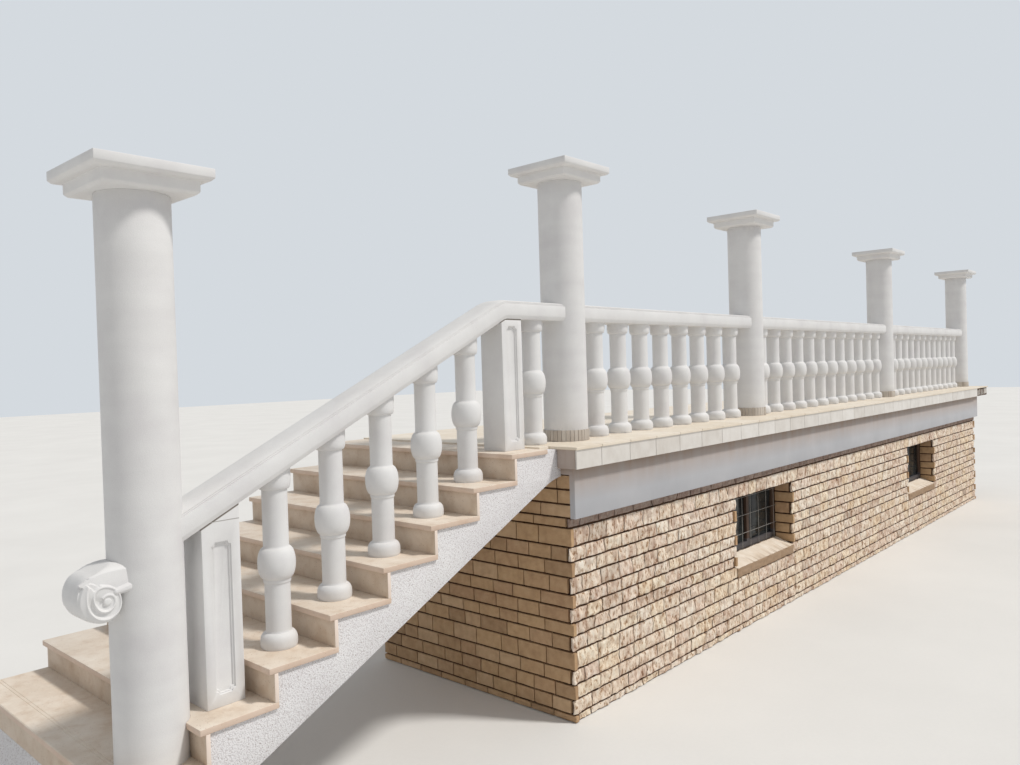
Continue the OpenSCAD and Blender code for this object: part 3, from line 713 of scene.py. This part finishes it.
# %% Mortar cores
rake, side_rake, sunk_foot = 0.022, 0.014, 0.04
left_in, right_in = (0, wall_left, side_rake), (0, wall_right, -side_rake)
openings = [(0, x, d) for left in window_lefts for x, d in ((left, -rake), (left + window_width, rake))]
front_faces = [(0, wall_left, rake), (0, wall_right, -rake), (1, wall_front, rake), (2, sill_foot, -sunk_foot)]
for side, faces in (
        ("front", front_faces + openings), ("return", [left_in]), ("end", [right_in]),
        ("rear", [(1, wall_back, -side_rake), left_in, right_in])):
    core = welded(side + "_wall")
    for axis, place, move in faces:
        for vertex in core.vertices:
            if abs(vertex.co[axis] - place) < 1e-4:
                vertex.co[axis] += move
    book(side + "_core", core, "stone_cladding", side + "_wall", finish=mortar)

# %% [markdown]
# ## Beam, slab, stair body
# These are poured and plastered by hand: flat faces with softly rounded
# edges, which only need the copy with rounded edges.

# %% Plastered bodies
softened("edge_beam", band_render_shaded, "render", 0.006)
softened("deck_slab", slab_concrete, "concrete", 0.003)
softened("stair_flight", roughcast, "roughcast", 0.004)
softened("stair_footing", roughcast, "roughcast", 0.004)

# %% [markdown]
# ## Tiles on the terrace
# The floor is laid in square tiles on a bed of grout, with a nose of 8 mm over
# the tiles that face the slab's edge. The joints of floor and edge line up.
# One edge tile is missing at the far end, and shows the pale dabs of mortar
# that held it on the dark bed.

# %% Tiled floor and edge
tile_pitch, tile_joint, first_joint, floor_nose = 0.3223, 0.004, -0.134, 0.008
bare_length, grout_inset, grout_drop, tongue_front = 0.64, 0.004, 0.0025, -0.18
half_joint = tile_joint / 2
floor_low, floor_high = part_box("floor_tiles")
edge_low, edge_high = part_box("edge_tiles")
slab_low, slab_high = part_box("deck_slab")
floor_left = edge_low.x - floor_nose


def joint_lines(start, first, end):
    lines = [start, first]
    while lines[-1] + tile_pitch < end - 0.06:
        lines.append(lines[-1] + tile_pitch)
    return lines + [end]


def tile_blocks(x_lines, y_lines, z0, z1, tone=None):
    """A tile between each pair of lines, with a joint round it and a tone of its own or the given one."""
    blocks = []
    for x0, x1 in zip(x_lines, x_lines[1:]):
        for y0, y1 in zip(y_lines, y_lines[1:]):
            at = ((x0 + x1) / 2, (y0 + y1) / 2, (z0 + z1) / 2)
            size = (x1 - x0 - tile_joint, y1 - y0 - tile_joint, z1 - z0)
            blocks.append((at, size, 0.0, dice.uniform(0.25, 1.0) if tone is None else tone))
    return blocks


def tiled(name, blocks, finish, slot, *replaced):
    mesh = blocks_laid(blocks, finish, (2, 2), 0.0, 0.0004, 5.0, 1, rounded_edges(0.0018))
    print(len(blocks), "tiles in", name)
    book(name, mesh, slot, *replaced)


dice = random.Random(21)
column_lines = joint_lines(floor_left - half_joint, first_joint, floor_high.x + half_joint)
row_lines = joint_lines(floor_low.y - half_joint, floor_low.y + tile_pitch, floor_high.y + half_joint)
floor_blocks = tile_blocks(column_lines, row_lines, slab_high.z, floor_high.z)
tongue_lines = [tongue_front] + [y for y in row_lines if y > 0]
floor_blocks += tile_blocks(
    [floor_low.x - half_joint, floor_left - half_joint], tongue_lines, slab_high.z, floor_high.z)
tiled("floor_tile_field", floor_blocks, floor_tile, "floor_tile", "floor_tiles")

edge_end = slab_high.x - bare_length
edge_left = edge_low.x - half_joint
edge_heights = (edge_low.z, edge_high.z)
front_edge = tile_blocks(
    joint_lines(edge_left, first_joint, edge_end), [edge_low.y - half_joint, slab_low.y + half_joint], *edge_heights)
# The near return tiles take tone 0: painted shade
near_edge = tile_blocks([edge_left, slab_low.x + half_joint], [slab_low.y, low("stair_flight").y], *edge_heights, 0.0)
far_lines = [slab_low.y + 0.32 + k * tile_pitch for k in range(6)] + [slab_high.y + half_joint]
far_edge = tile_blocks([slab_high.x - half_joint, edge_high.x + half_joint], far_lines, *edge_heights)
tiled("edge_tile_rows", front_edge + near_edge + far_edge, edge_tile, "edge_tile", "edge_tiles")

for name, corner_a, corner_b, slot, cuts, depth in (
        ("floor_grout", (floor_left + grout_inset, floor_low.y + grout_inset, slab_high.z),
         (floor_high.x - grout_inset, floor_high.y - grout_inset, floor_high.z - grout_drop), "floor_tile", 3, 0.0),
        ("missing_tile_mortar", (edge_end + 0.004, slab_low.y - 0.005, edge_low.z + 0.004),
         (slab_high.x - 0.002, slab_low.y + 0.002, edge_high.z - 0.002), "concrete", 60, 0.003)):
    a, b = Vector(corner_a), Vector(corner_b)
    book(name, blocks_laid([((a + b) / 2, b - a, 0.0, 0.5)], mortar, (cuts, 9), depth, 0.0005, 55.0, 4), slot)
dab_places = [(edge_end + 0.075 + 0.1 * k, 0.048) for k in range(4)] + [(slab_high.x - 0.105, 0.19)]
dabs = [((x, slab_low.y - 0.004, sum(edge_heights) / 2 + dice.uniform(-0.006, 0.006)),
         (wide, 0.01, edge_high.z - edge_low.z - 0.026), 0.0, 0.5) for x, wide in dab_places]
book("mortar_dabs", blocks_laid(dabs, dab_mortar, (9, 14), 0.005, 0.006, 60.0, 8), "concrete")

# %% [markdown]
# ## Treads and risers
# Each step is a beige tile tread with a crisp nosing on a thin riser of the
# same tile. The lowest tread also has two grooves cut along it against
# slipping. Its section is drawn once and run across the stair.

# %% Steps
for step in range(2, 9):
    softened(f"tread_{step}", stair_tile, "floor_tile", 0.0025)
softened("risers", riser_tile_shaded, "floor_tile", 0.0015)


def skin(shape, rings):
    """Faces between rings of corners, each ring closed in itself."""
    for a, b in zip(rings, rings[1:]):
        for j in range(len(a)):
            k = (j + 1) % len(a)
            shape.faces.new((a[j], a[k], b[k], b[j]))


def run_through(rings):
    """A closed form through rings of points, with a flat face at each end."""
    shape = bmesh.new()
    rings = [[shape.verts.new(point) for point in ring] for ring in rings]
    skin(shape, rings)
    for ring in (rings[0], rings[-1]):
        shape.faces.new(ring)
    return shape


def closed_mesh(shape, name):
    """The form as a mesh, with its faces turned outwards."""
    bmesh.ops.recalc_face_normals(shape, faces=shape.faces)
    return as_mesh(shape, name)


step_low, step_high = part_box("tread_1")
groove_deep, groove_half = 0.0025, 0.003
section = [(step_low.x, step_low.z), (step_high.x, step_low.z), (step_high.x, step_high.z)]
for x in (step_low.x + 0.112, step_low.x + 0.096):
    section += [(x + groove_half, step_high.z), (x, step_high.z - groove_deep), (x - groove_half, step_high.z)]
section += [(step_low.x + 0.004, step_high.z), (step_low.x, step_high.z - 0.004)]
grooved = closed_mesh(run_through([[(x, y, z) for x, z in section] for y in (step_low.y, step_high.y)]), "grooved")
book("tread_1_grooved", smooth_to(grooved, 30), "floor_tile", "tread_1", finish=stair_tile)

# %% [markdown]
# ## Turned balusters
# A baluster is turned: one outline swept round an axis. From its foot up it
# has an upright lip, a round shoulder, a plain shaft, a small collar, a full
# round ball, more shaft, and a capital that rounds outwards to an upright
# lip. The outline is drawn as radius and height, and the lathe turns it.

# %% Baluster
def lathe(outline, steps=40):
    """A closed turned form about the vertical through the origin."""
    shape = bmesh.new()
    turns = [2 * math.pi * i / steps for i in range(steps)]
    rings = [[shape.verts.new((r * math.cos(t), r * math.sin(t), z)) for t in turns] for r, z in outline]
    skin(shape, rings)
    for ring in (rings[0], rings[-1]):
        centre = shape.verts.new((0, 0, ring[0].co.z))
        for i in range(steps):
            shape.faces.new((ring[i], ring[(i + 1) % steps], centre))
    return shape


foot_r, shaft_r, ball_r, head_r = 0.087, 0.06, 0.089, 0.077
collar_r = shaft_r + 0.005
ball_z, ball_half = 0.4, 0.074


def baluster_outline(height, head_z):
    """Radius and height from the foot up. The capital starts to round out at head_z."""
    shoulder = [(shaft_r + (foot_r - shaft_r) * math.cos(a), 0.032 + 0.042 * math.sin(a))
                for a in (math.radians(4 + 80 * i / 7) for i in range(8))]
    ball = [(shaft_r + (ball_r - shaft_r) * math.cos(a), ball_z + ball_half * math.sin(a) / math.sin(math.radians(80)))
            for a in (math.radians(-80 + 10 * i) for i in range(17))]
    head = [(collar_r + (head_r - collar_r) * math.sin(a), head_z + 0.038 * (1 - math.cos(a)))
            for a in (math.radians(15 * i) for i in range(1, 7))]
    under, over = ball_z - ball_half, ball_z + ball_half
    return (
        [(foot_r - 0.004, 0.0), (foot_r - 0.001, 0.006), (foot_r, 0.016), (foot_r, 0.028)] + shoulder
        + [(shaft_r + 0.0008, 0.078), (shaft_r, 0.086), (shaft_r, 0.2), (shaft_r, under - 0.019)]
        + [(shaft_r + 0.004, under - 0.016), (collar_r, under - 0.01), (collar_r, under)] + ball
        + [(shaft_r + 0.001, over + 0.004), (shaft_r, over + 0.01), (shaft_r, 0.6), (shaft_r, head_z - 0.002)]
        + [(shaft_r + 0.0045, head_z)] + head + [(head_r, head_z + 0.045), (head_r, height)])


level_height = low("rail_bay_1").z - terrace_top
level_outline = baluster_outline(level_height, level_height - 0.072)
print("outline has", len(level_outline), "points")

# %% [markdown]
# ## Rows of balusters
# Each bay holds one row. A small tree puts the turned form on every point of
# the row, and the points come from the CAD: a row starts and ends where its
# solid does. The last bay really has twelve balusters, and its solid eleven, so
# that row stands a little closer than the solid between the same ends.

# %% Baluster rows
def row_tree():
    t, given = new_tree("stand_in_a_row", {"Turned form": "Object"})
    form = t.add("GeometryNodeObjectInfo", {"Object": given["Turned form"]})["Geometry"]
    return finish_tree(t, given, copies(t, given["Mesh"], form))


stand_in_a_row = row_tree()


def row(points, outline, steps=40):
    form = put("turned_form", closed_mesh(lathe(outline, steps), "turned_form"))
    mesh = baked(plain_mesh("points", points), (stand_in_a_row, {"Turned form": form, "Finish": cast_stone}))
    bpy.data.objects.remove(form)
    return smooth_to(mesh, 40)


for bay, count in ((1, 8), (2, 12), (3, 12)):
    node = f"balusters_bay_{bay}"
    first, last = low(node).x + ball_r, high(node).x - ball_r
    points = [(first + (last - first) * i / (count - 1), 0, terrace_top) for i in range(count)]
    book(f"baluster_row_{bay}", row(points, level_outline), "cast_stone", node)
landing_row = row([(middle("landing_baluster").x, 0, terrace_top)], level_outline, 48)
book("baluster_at_landing", landing_row, "cast_stone", "landing_baluster")

# %% [markdown]
# ## Balusters on the stair
# On the stair each baluster stands on its own tread and is cut to the slope
# of the rail. The turned forms are made a little too tall, and a sloping
# plane cuts them all at once.

# %% Raking cut
tread_tops = {k: high(f"tread_{k}").z for k in range(1, 9)}
nosings = {k: low(f"tread_{k}").x for k in range(1, 9)}
going, rise = nosings[3] - nosings[2], tread_tops[3] - tread_tops[2]
slope = math.atan2(rise, going)
rake_normal = Vector((-math.sin(slope), 0, math.cos(slope)))
baluster_set, rail_clear = 0.203, 0.741


def rail_under(x):
    """Height of the raking rail's underside."""
    return tread_tops[8] + rail_clear + (x - nosings[8]) * rise / going


stair_points = [(nosings[k] + baluster_set, 0, tread_tops[k]) for k in range(3, 8)]
on_rail = Vector((nosings[8], 0, rail_under(nosings[8])))
shape = shape_of(row(stair_points, baluster_outline(1.0, 0.752), 48))
cut = bmesh.ops.bisect_plane(
    shape, geom=shape.verts[:] + shape.edges[:] + shape.faces[:], plane_co=on_rail, plane_no=rake_normal,
    clear_outer=True)
bmesh.ops.edgeloop_fill(shape, edges=[e for e in cut["geom_cut"] if isinstance(e, bmesh.types.BMEdge)])
stair_row = smooth_to(as_mesh(shape, "stair_row"), 40)
book("baluster_row_stair", stair_row, "cast_stone", "stair_balusters", finish=cast_stone)
print("slope", round(math.degrees(slope), 2), "degrees")

# %% [markdown]
# ## Rails
# The rail is one moulded section: a bevel, an upright side, a double quirk and
# a low crown. Geometry Nodes sweep it along its line. The raking rail bends
# into the level, so its line has a short arc there, and the section stays
# square to the line all the way.

# %% Rail tree
def swept_tree(name, kinds, section_of, keep_level=False):
    """A tree that sweeps the section that section_of(t, given) makes along the mesh's lines."""
    t, given = new_tree(name, kinds)
    line = t.add("GeometryNodeMeshToCurve", {"Mesh": given["Mesh"]})[0]
    if keep_level:
        line = t.add("GeometryNodeSetCurveNormal", {"Curve": line}, mode="Z_UP")[0]
    return finish_tree(t, given, t.add("GeometryNodeCurveToMesh", {
        "Curve": line, "Profile Curve": section_of(t, given), "Fill Caps": True})[0])


def section_given(t, given):
    section = t.add("GeometryNodeObjectInfo", {"Object": given["Section"]})["Geometry"]
    return t.add("GeometryNodeMeshToCurve", {"Mesh": section})[0]


sweep_section = swept_tree("sweep_section", {"Section": "Object"}, section_given, keep_level=True)


def chained(points, closed=False):
    """Points joined by edges, one after the other."""
    edges = [(i, i + 1) for i in range(len(points) - 1)] + ([(len(points) - 1, 0)] if closed else [])
    return plain_mesh("chain", points, edges)


half_w = 0.105
# How far in from the rail's side, and how far up
rail_marks = [
    (0.013, 0.0), (0.011, 0.001), (0.001, 0.0205), (0.0, 0.0235), (0.0, 0.0905), (0.0008, 0.0922), (0.006, 0.093),
    (0.0075, 0.095), (0.0055, 0.0975), (0.006, 0.0992), (0.0105, 0.1), (0.0115, 0.1022), (0.0095, 0.105),
    (0.016, 0.1085), (0.028, 0.1125), (0.042, 0.1155), (0.058, 0.1174), (0.075, 0.118)]


def mirrored(half):
    """A whole section from its half. Both are points of (across, up)."""
    return [(-a, u) for a, u in half] + [(a, u) for a, u in reversed(half)]


rail_section = mirrored([(inset - half_w, up) for inset, up in rail_marks])


def rail(name, line, node):
    """Sweeps the rail's section along a line of (x, z), and books it."""
    section = put("section", chained([(a, -u, 0) for a, u in rail_section], closed=True))
    mesh = baked(chained([(x, 0, z) for x, z in line]), (sweep_section, {"Section": section, "Finish": cast_stone}))
    bpy.data.objects.remove(section)
    book(name, smooth_to(closed_mesh(shape_of(mesh), name), 32), "cast_stone", node, finish=cast_stone)


rail_bottom = low("rail_bay_1").z
bend_r, into_column = 0.12, 0.105
bend_x = nosings[8] + (rail_bottom - tread_tops[8] - rail_clear) * going / rise
bend_start = bend_x + bend_r * math.tan(slope / 2)
bend_line = [(bend_start - bend_r * math.sin(a), rail_bottom - bend_r * (1 - math.cos(a)))
             for a in (slope * i / 10 for i in range(10, -1, -1))]
rail_foot = column_x[0] + into_column
rake_line = [(rail_foot, rail_under(rail_foot))] + bend_line + [(column_x[1] - into_column, rail_bottom)]
rail("raking_rail_moulded", rake_line, "raking_rail")
for bay in (1, 2, 3):
    ends = (column_x[bay] + into_column, column_x[bay + 1] - into_column)
    rail(f"level_rail_{bay}", [(x, rail_bottom) for x in ends], f"rail_bay_{bay}")

# %% [markdown]
# ## Volute
# The rail dies into the foot column, and on the column's other side a volute
# answers it. Its near face carries one raised ridge that starts under the
# neck's tip, runs round the scroll and winds in to a round eye. The ridge is
# set out by its distance from the eye at stated turns, as a carver would mark
# it. The back swells between the faces and runs up into the neck.

# %% Volute scroll
scroll_middle = Vector((column_x[0] - 0.208, 0, terrace_top - 0.383))
eye_off, eye_r = Vector((0.011, 0.004)), 0.0165
face_half, face_flat, swell = 0.105, 0.097, 0.06
ridge_start = 133
ridge_marks = [
    (0, 0.102), (14, 0.091), (31, 0.081), (51, 0.0755), (78, 0.0715), (122, 0.0695), (144, 0.067), (168, 0.0615),
    (192, 0.056), (220, 0.051), (250, 0.0498), (276, 0.0512), (300, 0.0545), (324, 0.061), (345, 0.066), (360, 0.0655),
    (378, 0.059), (398, 0.0515), (425, 0.0445), (454, 0.0415), (483, 0.039), (512, 0.035), (548, 0.0305), (581, 0.029),
    (644, 0.0278), (726, 0.0255)]
deep_marks = [
    (0, 0.005), (90, 0.004), (135, 0.006), (170, 0.014), (215, 0.014), (270, 0.009), (320, 0.006), (360, 0.005)]
border_marks = [
    (0, 0.0625), (43, 0.063), (86, 0.0685), (106, 0.072), (120, 0.1), (127, 0.101), (139, 0.0895), (158, 0.0765),
    (181, 0.069), (213, 0.065), (241, 0.0652), (264, 0.0675), (287, 0.0695), (311, 0.0685), (331, 0.067), (360, 0.0625)]
back_marks = [
    (0, 0.07), (60, 0.072), (100, 0.09), (125, 0.112), (150, 0.106), (172, 0.1), (190, 0.094), (208, 0.09),
    (240, 0.084), (268, 0.084), (300, 0.081), (331, 0.075), (360, 0.07)]


def between_marks(marks, at):
    """A smooth curve through (place, value) marks."""
    i = next((i for i, mark in enumerate(marks[1:]) if at <= mark[0]), len(marks) - 2)
    (a, start), (b, end) = marks[i], marks[i + 1]
    t = min(max((at - a) / (b - a), 0.0), 1.0)
    before, after = marks[max(i - 1, 0)], marks[min(i + 2, len(marks) - 1)]
    lean_a = (end - before[1]) / (b - before[0]) * (b - a)
    lean_b = (after[1] - start) / (after[0] - a) * (b - a)
    square, cube = 3 * (end - start) - 2 * lean_a - lean_b, 2 * (start - end) + lean_a + lean_b
    return start + t * lean_a + t * t * square + t ** 3 * cube


def smooth_step(value, start, end):
    t = min(max((value - start) / (end - start), 0), 1)
    return t * t * (3 - 2 * t)


def face_sink(place):
    """How deep the face lies below its ridge at a place (across, up) from the scroll's middle."""
    off = place - eye_off
    distance, angle = off.length, math.degrees(math.atan2(off.y, off.x))
    turn = (angle - ridge_start) % 360
    ridges = [between_marks(ridge_marks, turn + 360 * k) for k in (0, 1, 2) if turn + 360 * k <= ridge_marks[-1][0]]
    near = min(abs(distance - r) for r in ridges)
    deep = face_half - face_flat if distance > max(ridges) else between_marks(deep_marks, angle % 360)
    if ridges[1] < distance < ridges[0]:
        deep *= 0.25 + 0.75 * smooth_step(turn, 5, 60)
    if distance < eye_r:
        return 0.002 + 0.004 * (distance / eye_r) ** 3 + deep * smooth_step(distance, 0.014, eye_r)
    return deep * smooth_step(near, 0.0016, 0.0075)


def scroll_shape():
    shape = bmesh.new()
    steps, cuts, slices = 180, 44, 22
    columns = []
    for i in range(steps):
        angle = 360 * i / steps
        way = Vector((math.cos(math.radians(angle)), math.sin(math.radians(angle))))
        edge, back = between_marks(border_marks, angle), between_marks(back_marks, angle)
        face = [way * (edge * j / cuts) for j in range(1, cuts + 1)]
        outline = [(spot, face_sink(spot) - face_half) for spot in face]
        first = outline[-1][1]
        for k in range(1, slices):
            depth = first + (-2 * first) * k / slices
            rise = min((face_half - abs(depth)) / swell, 1.0)
            outline.append((way * (edge + (back - edge) * math.sqrt(1 - (1 - rise) ** 2)), depth))
        outline += [(spot, -depth) for spot, depth in reversed(outline[:cuts])]
        columns.append([shape.verts.new(scroll_middle + Vector((spot.x, depth, spot.y))) for spot, depth in outline])
    pole_depth = face_half - face_sink(Vector((0, 0)))
    poles = [shape.verts.new(scroll_middle + Vector((0, side * pole_depth, 0))) for side in (-1, 1)]
    for a, b in zip(columns, columns[1:] + columns[:1]):
        for j in range(len(a) - 1):
            shape.faces.new((a[j], a[j + 1], b[j + 1], b[j]))
        shape.faces.new((poles[0], a[0], b[0]))
        shape.faces.new((poles[1], b[-1], a[-1]))
    return shape


print("ridge starts", ridge_marks[0][1], "m from the eye and ends", ridge_marks[-1][1])

# %% [markdown]
# The neck is a run of sections. It leaves the column level and bends down over
# the scroll, and its crown sinks into the scroll's back. A plate on the near
# side runs on to a pointed tip, and a round band runs along the neck's foot.

# %% Volute neck
neck_bend, neck_under, neck_radius, neck_end, tip_start = 0.047, 0.018, 0.185, 42, 22
band_end, band_top, plate_out = 0.038, 0.054, 0.0965
neck_half_section = [
    (0.04, 0.0), (0.078, 0.0), (0.094, 0.005), (0.103, 0.012), (0.1075, 0.022), (0.108, 0.03), (0.1072, 0.04),
    (0.103, 0.048), (0.0975, 0.0535), (0.0965, 0.058), (0.095, 0.07), (0.093, 0.085), (0.0915, 0.099), (0.0908, 0.103),
    (0.088, 0.1055), (0.084, 0.11), (0.077, 0.1155), (0.066, 0.121), (0.052, 0.1255), (0.03, 0.1275), (0.01, 0.128)]
crown_sinks = [
    (0, 0.128), (3, 0.1225), (8.2, 0.116), (14.3, 0.112), (20.2, 0.112), (24.1, 0.107), (28.7, 0.093), (32.8, 0.076),
    (37.1, 0.055), (40.1, 0.037), (43, 0.016)]
tip_outline = [(6 + k * 1.6, 0.1035) for k in range(15)] + [
    (29.0, 0.1015), (28.0, 0.0925), (26.7, 0.084), (25.0, 0.08), (23.4, 0.0775), (22.2, 0.06), (18.0, 0.056),
    (12.0, 0.06), (6.0, 0.06)]


def on_neck(x, degrees, across, up):
    """A place on the neck: along its line, round its bend, across and up from its underside."""
    angle, reach = math.radians(degrees), neck_radius + up
    rise = neck_under - neck_radius + reach * math.cos(angle)
    return scroll_middle + Vector((x - reach * math.sin(angle), across, rise))


def neck_place(x, angle, across, up):
    """A place of the section, with the band drawn in towards its end and the crown sunk into the scroll."""
    along = x - neck_radius * math.sin(math.radians(angle))
    if up < band_top:
        rising = min(max((along - band_end) / 0.065, 0.0), 1.0)
        up = 0.004 * rising + up * (0.6 + 0.22 * rising)
    if abs(across) > plate_out:
        out = smooth_step(along, band_end - 0.01, band_end + 0.004)
        across = math.copysign(plate_out + (abs(across) - plate_out) * out, across)
    across = max(across, -0.11 + 0.03 * smooth_step(angle, tip_start - 8, tip_start))
    if across > -0.0802 or angle > tip_start:
        edge_round = 0.012 if across > 0 else 0.004
        edge_round *= smooth_step(abs(across), 0.05, 0.082) * smooth_step(angle, 8, 20)
        up = min(up, between_marks(crown_sinks, angle) - edge_round)
    return on_neck(x, angle, across, up)


def neck_shape():
    stations = [(x, 0) for x in (0.12, 0.103, 0.086, 0.07, 0.057)] + [(neck_bend, neck_end * i / 28) for i in range(29)]
    section = mirrored(neck_half_section)
    return run_through([[neck_place(x, angle, across, up) for across, up in section] for x, angle in stations])


def tip_shape():
    """The near plate that runs on to the tip, lying against the neck's near side."""
    near = [0.0055 * smooth_step(up, 0.055, 0.1) - plate_out for degrees, up in tip_outline]
    return run_through([
        [on_neck(neck_bend, degrees, across, up) for (degrees, up), across in zip(tip_outline, side)]
        for side in (near, [-0.074] * len(tip_outline))])


def fused(*shapes):
    """Closed forms made into one skin by a fine voxel remesh, then eased and thinned."""
    whole = bmesh.new()
    for shape in shapes:
        whole.from_mesh(closed_mesh(shape, "part"))
    skin_steps = (
        ("REMESH", {"mode": "VOXEL", "voxel_size": 0.0014}), ("SMOOTH", {"factor": 0.5, "iterations": 3}),
        ("DECIMATE", {"ratio": 0.28}))
    return smooth_to(baked(closed_mesh(whole, "volute"), *skin_steps), 60)


volute_skin = fused(scroll_shape(), neck_shape(), tip_shape())
print("volute faces", len(volute_skin.polygons))
book("volute_cast", volute_skin, "cast_stone", "volute", finish=cast_stone)

# %% [markdown]
# ## Columns, capitals and newels
# The columns are plain drums, turned like the balusters. A capital is two
# square plates, and a newel is a square post with a sunk panel on its face.
# Under the rail a newel shows its bed joint, painted dark together with the
# painted shadow of the rail, and the lower one a second joint where a wedge of
# mortar makes up the slope.
# Their CAD solids already have those shapes, so they get softened edges.

# %% Columns, capitals, newels
for number, x in enumerate(column_x, 1):
    node = f"column_{number}"
    foot, head = low(node).z, high(node).z
    radius, tall, soft = (high(node).x - low(node).x) / 2, head - foot, 0.003
    heights = (soft, *(tall * k / 12 for k in range(1, 12)), tall - soft)
    shape = lathe([(radius - 0.002, 0.0), *((radius, z) for z in heights), (radius - 0.002, tall)], 96)
    bmesh.ops.translate(shape, verts=shape.verts, vec=(x, 0, foot))
    book(f"column_drum_{number}", smooth_to(closed_mesh(shape, node), 50), "cast_stone", node, finish=column_skin)
    softened(f"capital_{number}", cast_stone, "cast_stone", 0.003)


def joint_and_shadow_line(way, at, half, tone):
    """A joint line, painted as a colour and a groove, used for joints and for painted shadow: its direction, how far
    along it the line lies, half its width, and its colour.
    """
    def layer(t, where, colour, height):
        off = t.math("ABSOLUTE", t.math("SUBTRACT", t.vector("DOT_PRODUCT", where, tuple(way)), at))
        mark = t.span(off, half * 0.6, half, 1.0, 0.0)
        return t.mix("MIX", mark, colour, tone), t.plus(height, mark, -4.0)
    return layer


# Just under the rail the line is the bed joint together with the painted shadow of the rail; the wedge's line is a
# joint only
joint_and_shadow_tone, upright = (128, 120, 112), (0, 0, 1)
rake_joint_and_shadow = joint_and_shadow_line(rake_normal, rake_normal.dot(on_rail) - 0.003, 0.006, joint_and_shadow_tone)
level_joint_and_shadow = joint_and_shadow_line(upright, rail_bottom - 0.003, 0.006, joint_and_shadow_tone)
wedge_joint = joint_and_shadow_line(upright, rail_under(middle("newel_lower").x - 0.05), 0.002, (176, 172, 168))
for node, second_line in (("newel_lower", wedge_joint), ("newel_upper", level_joint_and_shadow)):
    newel_stone = mineral(node, white_tones, 5.0, 320, 0.0006, 0.62, 0.05, dust, rake_joint_and_shadow, second_line)
    softened(node, newel_stone, "cast_stone", 0.002)

# %% [markdown]
# ## Skirting round the columns
# Narrow upright tiles run round the foot of each column on the terrace, one
# beside the next, like barrel staves.

# %% Column skirting
skirt_low, skirt_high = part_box("column_skirtings")
stave_count, stave_thick, stave_gap = 34, 0.0085, 0.002
radius = (skirt_high.x - column_x[4] - 0.005) * math.cos(math.pi / stave_count)
stave_size = (2 * math.pi * radius / stave_count - stave_gap, stave_thick, skirt_high.z - skirt_low.z)
staves = []
for x in column_x[1:]:
    for angle in (2 * math.pi * i / stave_count for i in range(stave_count)):
        at = (x + radius * math.cos(angle), radius * math.sin(angle), (skirt_low.z + skirt_high.z) / 2)
        staves.append((at, stave_size, angle + math.pi / 2, dice.random()))
tiled("column_skirting_tiles", staves, skirting_tile, "skirting_tile", "column_skirtings")

# %% [markdown]
# ## Cellar windows
# A window sits 180 mm back in its opening. Before it the stone sill slopes out
# to the wall's face, and takes a whole course there with its rough front edge.
# A light wire grille is fixed close before the near window.

# %% Windows
softened("window_frames", window_wood, "window_frame", 0.003)
softened("window_glass", window_glass, "window_glass", 0.0008)
frame_face, sill_slope = low("window_frames").y, 0.061


def sill_block(left, y0, y1, z0):
    size = (window_width - 0.004, y1 - y0, window_foot - z0)
    return (left + window_width / 2, (y0 + y1) / 2, (z0 + window_foot) / 2), size, 0.0, 0.7


sill_blocks = []
for left in window_lefts:
    sill_blocks.append(sill_block(left, wall_front - 0.004, frame_face, apron_foot + 0.005))
    sill_blocks.append(sill_block(left, frame_face, high("window_sills").y, sill_foot))
sills = blocks_laid(sill_blocks, sill_stone, (60, 8), 0.014, 0.004, 30.0, 9)
for vertex in sills.vertices:
    if vertex.co.y < frame_face - 0.05:
        vertex.co.z -= sill_slope * (vertex.co.z - apron_foot) / (window_foot - apron_foot)
book("sill_slabs", smooth_to(sills, 50), "sill_stone", "window_sills")

draw_wire = swept_tree("draw_wire", {"Wire radius": "Float"}, lambda t, given: t.add(
    "GeometryNodeCurvePrimitiveCircle", {"Resolution": 8, "Radius": given["Wire radius"]})[0])
grille_y, mesh_pitch, wire_r = frame_face - 0.014, 0.16, 0.0022
first_upright = window_lefts[0] + (window_width - 6 * mesh_pitch) / 2 + 0.022
uprights = [first_upright + i * mesh_pitch for i in range(7)]
levels = [window_head - 0.062 - i * mesh_pitch for i in range(4)]
wires = [(x, grille_y, z) for x in uprights for z in (window_foot - 0.008, window_head - 0.004)]
wires += [(window_lefts[0] + x, grille_y + 2 * wire_r, z) for z in levels for x in (-0.01, window_width + 0.01)]
grille = baked(
    plain_mesh("bars", wires, [(i, i + 1) for i in range(0, len(wires), 2)]),
    (draw_wire, {"Wire radius": wire_r, "Finish": grille_wire}))
book("window_grille", smooth_to(grille, 50), "window_frame")
print("grille levels", [round(z, 3) for z in levels], "uprights", [round(x, 3) for x in uprights])
